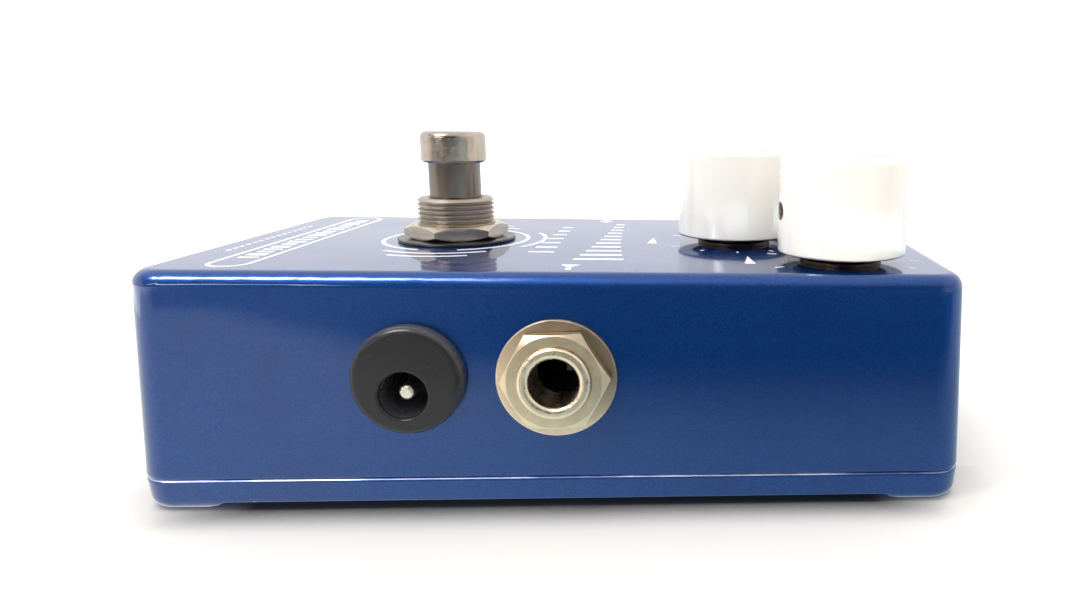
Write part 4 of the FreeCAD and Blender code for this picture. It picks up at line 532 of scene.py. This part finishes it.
def mirrored(mat, strength, tint=(1.0, 0.985, 0.965)):
    """Painted reflection: a glow seen only in reflections, standing for the lit and unlit patches of the table and
    wall.
    """
    path = mat.n("LightPath")
    strength = mat.maths("MULTIPLY", strength, at_viewpoint(mat, 1.0, 0.55))
    glow = mat.n("Emission", Color=tint, Strength=strength)
    pick = mat.n("MixShader")
    mat.t.links.new(path.outputs["Is Glossy Ray"], pick.inputs[0])
    mat.t.links.new(mat.b.outputs["BSDF"], pick.inputs[1])
    mat.t.links.new(glow.outputs["Emission"], pick.inputs[2])
    # seen from behind or below the sheet is clear, so every side of the part can be viewed
    behind = mat.n("MixShader")
    mat.t.links.new(mat.n("NewGeometry").outputs["Backfacing"], behind.inputs[0])
    mat.t.links.new(pick.outputs["Shader"], behind.inputs[1])
    mat.t.links.new(mat.n("BsdfTransparent").outputs["BSDF"], behind.inputs[2])
    mat.t.links.new(behind.outputs["Shader"], mat.out.inputs["Surface"])


def step(mat, value, lo, hi, to_lo, to_hi):
    node = mat.n("MapRange")
    node.interpolation_type = "SMOOTHSTEP"
    mat.put(node.inputs["Value"], value)
    for k, v in (("From Min", lo), ("From Max", hi), ("To Min", to_lo), ("To Max", to_hi)):
        node.inputs[k].default_value = v
    return node.outputs["Result"]


# the case side mirrors a lit patch of table whose far edge runs aslant, and the knobs a bright strip beyond it
fx, fy = floor_mat.axis("X"), floor_mat.axis("Y")
edge_at = floor_mat.spread(fy, -0.13, 0.0, 0.177, 0.080)
blur = floor_mat.spread(fy, -0.08, 0.02, 0.014, 0.036)
lit = step(floor_mat, floor_mat.maths("DIVIDE", floor_mat.maths("SUBTRACT", fx, edge_at), blur), -1.0, 1.0, 1.0, 0.0)
bright = step(floor_mat, fy, -0.055, 0.035, 1.24, 0.62)
dim = step(floor_mat, fy, -0.12, 0.0, 0.42, 0.03)
patch = floor_mat.maths("ADD", dim, floor_mat.maths("MULTIPLY", lit, floor_mat.maths("SUBTRACT", bright, dim)))
ring = floor_mat.radius_from(0.020, 0.030)
notch = floor_mat.maths("MULTIPLY", step(floor_mat, fx, 0.04, 0.08, 0.0, 0.055), step(floor_mat, fy, -0.10, -0.06, 1.0, 0.0))
inner = step(floor_mat, floor_mat.maths("SUBTRACT", ring, notch), 0.222, 0.240, 0.0, 2.6)
band = floor_mat.maths("MULTIPLY", inner, step(floor_mat, ring, 0.340, 0.360, 1.0, 0.0))
shown = floor_mat.maths("MAXIMUM", patch, band)
shown = floor_mat.maths("MULTIPLY", shown, step(floor_mat, fx, 0.36, 0.42, 1.0, 0.1))
mirrored(floor_mat, shown, floor_mat.mix(step(floor_mat, fy, -0.055, 0.035, 0.0, 1.0), (1.0, 0.985, 0.92), (1.0, 1.22, 1.28)))
mirrored(wall_mat, 1.12, (1.0, 1.0, 1.02))
plane("floor", [(-0.125, -2.5, -0.03 * MM), (1.5, -2.5, -0.03 * MM), (1.5, 2.5, -0.03 * MM), (-0.125, 2.5, -0.03 * MM)], floor_mat)
plane("wall", [(-0.125, -2.5, 0), (-0.125, 2.5, 0), (-0.125, 2.5, 2.0), (-0.125, -2.5, 2.0)], wall_mat)

world = bpy.data.worlds.new("studio")
scene.world = world
world.use_nodes = True
wt = world.node_tree
wt.nodes.clear()
w_out = wt.nodes.new("ShaderNodeOutputWorld")
w_bg = wt.nodes.new("ShaderNodeBackground")
w_co = wt.nodes.new("ShaderNodeTexCoord")


def facing(direction, lo, hi, to):
    """Light that grows as the ray turns towards a direction."""
    dot = wt.nodes.new("ShaderNodeVectorMath")
    dot.operation = "DOT_PRODUCT"
    wt.links.new(w_co.outputs["Generated"], dot.inputs[0])
    dot.inputs[1].default_value = Vector(direction).normalized()
    fade = wt.nodes.new("ShaderNodeMapRange")
    fade.interpolation_type = "SMOOTHSTEP"
    wt.links.new(dot.outputs["Value"], fade.inputs["Value"])
    fade.inputs["From Min"].default_value, fade.inputs["From Max"].default_value = lo, hi
    fade.inputs["To Min"].default_value, fade.inputs["To Max"].default_value = 0.0, to
    return fade.outputs["Result"]


# a dim room behind the viewer, brighter overhead and to both sides
total_light = None
for term in (facing((0.0, 0.0, 1.0), 0.25, 0.95, 0.9), facing((0.15, 1.0, 0.05), 0.45, 0.90, 0.75), facing((0.10, -1.0, 0.08), 0.90, 0.97, 1.1),
             facing((0.72, -0.69, 0.05), 0.93, 0.99, 0.35)):
    if total_light is None:
        total_light = term
    else:
        add = wt.nodes.new("ShaderNodeMath")
        add.operation = "ADD"
        wt.links.new(total_light, add.inputs[0])
        wt.links.new(term, add.inputs[1])
        total_light = add.outputs[0]
add = wt.nodes.new("ShaderNodeMath")
add.operation = "ADD"
wt.links.new(total_light, add.inputs[0])
add.inputs[1].default_value = 0.09
w_bg.inputs["Color"].default_value = (1.0, 1.0, 1.0, 1.0)
wt.links.new(add.outputs[0], w_bg.inputs["Strength"])
wt.links.new(w_bg.outputs["Background"], w_out.inputs["Surface"])


def area(name, at, aim, size, power, color=(1, 1, 1)):
    """Soft box facing aim; its second size lies as near along Y as the aim allows."""
    data = bpy.data.lights.new(name, "AREA")
    data.shape = "RECTANGLE"
    data.size, data.size_y = size
    data.energy = power
    data.color = color
    obj = bpy.data.objects.new(name, data)
    scene.collection.objects.link(obj)
    obj.location = at
    obj.rotation_mode = "QUATERNION"
    back = (Vector(at) - Vector(aim)).normalized()
    across = Vector((0, 1, 0)).cross(back).normalized()
    obj.rotation_quaternion = Matrix((across, back.cross(across), back)).transposed().to_quaternion()
    return obj


overhead = area("overhead", (0.0, -0.10, 0.80), (0.0, 0.0, 0.0), (0.55, 0.55), 4.2, (1.0, 0.985, 0.96))
fill = area("fill", (0.82, -0.26, 0.50), (0.0, 0.0, 0.03), (0.7, 0.5), 5.2)
overhead.visible_glossy = fill.visible_glossy = False
area("panel", (0.22, -0.46, 0.90), (0.03, -0.03, 0.03), (0.13, 0.42), 2.0).visible_glossy = False


def strip(name, at, aim, size, strength):
    """Bright strip seen in reflections only; its second size lies as near along Y as the aim allows."""
    mat = Mat(name)
    path = mat.n("LightPath")
    clear = mat.n("BsdfTransparent")
    wave = mat.spread(mat.noise(40.0, 2.0, 0.5), 0.3, 0.7, strength * 0.9, strength)
    mid_y = at[1]
    for sign in (-1, 1):
        y1 = mid_y + sign * size[1] * 0.47
        y0 = mid_y + sign * size[1] * 0.10
        fade = mat.spread(mat.axis("Y"), min(y0, y1), max(y0, y1), *((0.0, 1.0) if sign < 0 else (1.0, 0.0)))
        wave = mat.maths("MULTIPLY", wave, fade)
    wave = mat.maths("MULTIPLY", wave, at_viewpoint(mat, 1.0, 0.15))
    glow = mat.n("Emission", Color=(1.0, 0.99, 0.98), Strength=wave)
    pick = mat.n("MixShader")
    mat.t.links.new(path.outputs["Is Glossy Ray"], pick.inputs[0])
    mat.t.links.new(clear.outputs["BSDF"], pick.inputs[1])
    mat.t.links.new(glow.outputs["Emission"], pick.inputs[2])
    mat.t.links.new(pick.outputs["Shader"], mat.out.inputs["Surface"])
    back = (Vector(at) - Vector(aim)).normalized()
    across = Vector((0, 1, 0)).cross(back).normalized() * (size[0] / 2)
    along = back.cross(across).normalized() * (size[1] / 2)
    mid = Vector(at)
    return plane(name, [tuple(mid + across * i + along * j) for i, j in ((-1, -1), (1, -1), (1, 1), (-1, 1))], mat)


# one overhead and one low strip draw the two bright lines along the rounded top edge
strip("strip_overhead", (0.45, -0.46, 0.76), (0.03, -0.03, 0.03), (0.27, 0.60), 25.0)
strip("strip_low", (1.20, -0.90, 0.30), (0.03, -0.03, 0.03), (0.06, 0.80), 17.0)

cam_data = bpy.data.cameras.new("view")
cam = bpy.data.objects.new("view", cam_data)
scene.collection.objects.link(cam)
right = Vector((0.06761162, 0.99751575, 0.01977352))
down = Vector((0.18959674, 0.00661191, -0.98183978))
ahead = Vector((-0.97953139, 0.07013277, -0.18867869))
eye = Vector((0.1321154, 0.0171314, 0.0530742))
m = Matrix((right, -down, -ahead)).transposed().to_4x4()
m.translation = eye
cam.matrix_world = m
cam_data.sensor_fit = "HORIZONTAL"
cam_data.sensor_width = 36.0
cam_data.lens = 792.75 * 36.0 / 1080.0
cam_data.clip_start, cam_data.clip_end = 0.005, 20.0
# the picture's centre lies beside the optical axis at this viewpoint only
for path, value in (("shift_x", -(746.17 - 540.0) / 1080.0), ("shift_y", (269.29 - 303.5) / 1080.0)):
    d = cam_data.driver_add(path).driver
    d.type = "SCRIPTED"
    v = d.variables.new()
    v.name, v.type = "px", "TRANSFORMS"
    v.targets[0].id = cam
    v.targets[0].transform_type = "LOC_X"
    v.targets[0].transform_space = "WORLD_SPACE"
    d.expression = "%.6f if px < 0.1323 and px > 0.1319 else 0.0" % value
scene.camera = cam
# the bright strips and patches belong to this viewpoint too; seen from elsewhere they are softer
for tree, name, here, elsewhere in stage_values:
    d = tree.driver_add('nodes["%s"].outputs[0].default_value' % name).driver
    d.type = "SCRIPTED"
    v = d.variables.new()
    v.name, v.type = "px", "TRANSFORMS"
    v.targets[0].id = cam
    v.targets[0].transform_type = "LOC_X"
    v.targets[0].transform_space = "WORLD_SPACE"
    d.expression = "%.6f if px < 0.1323 and px > 0.1319 else %.6f" % (here, elsewhere)

scene.view_settings.view_transform = "Standard"
scene.view_settings.look = "None"
scene.view_settings.exposure = 0.0
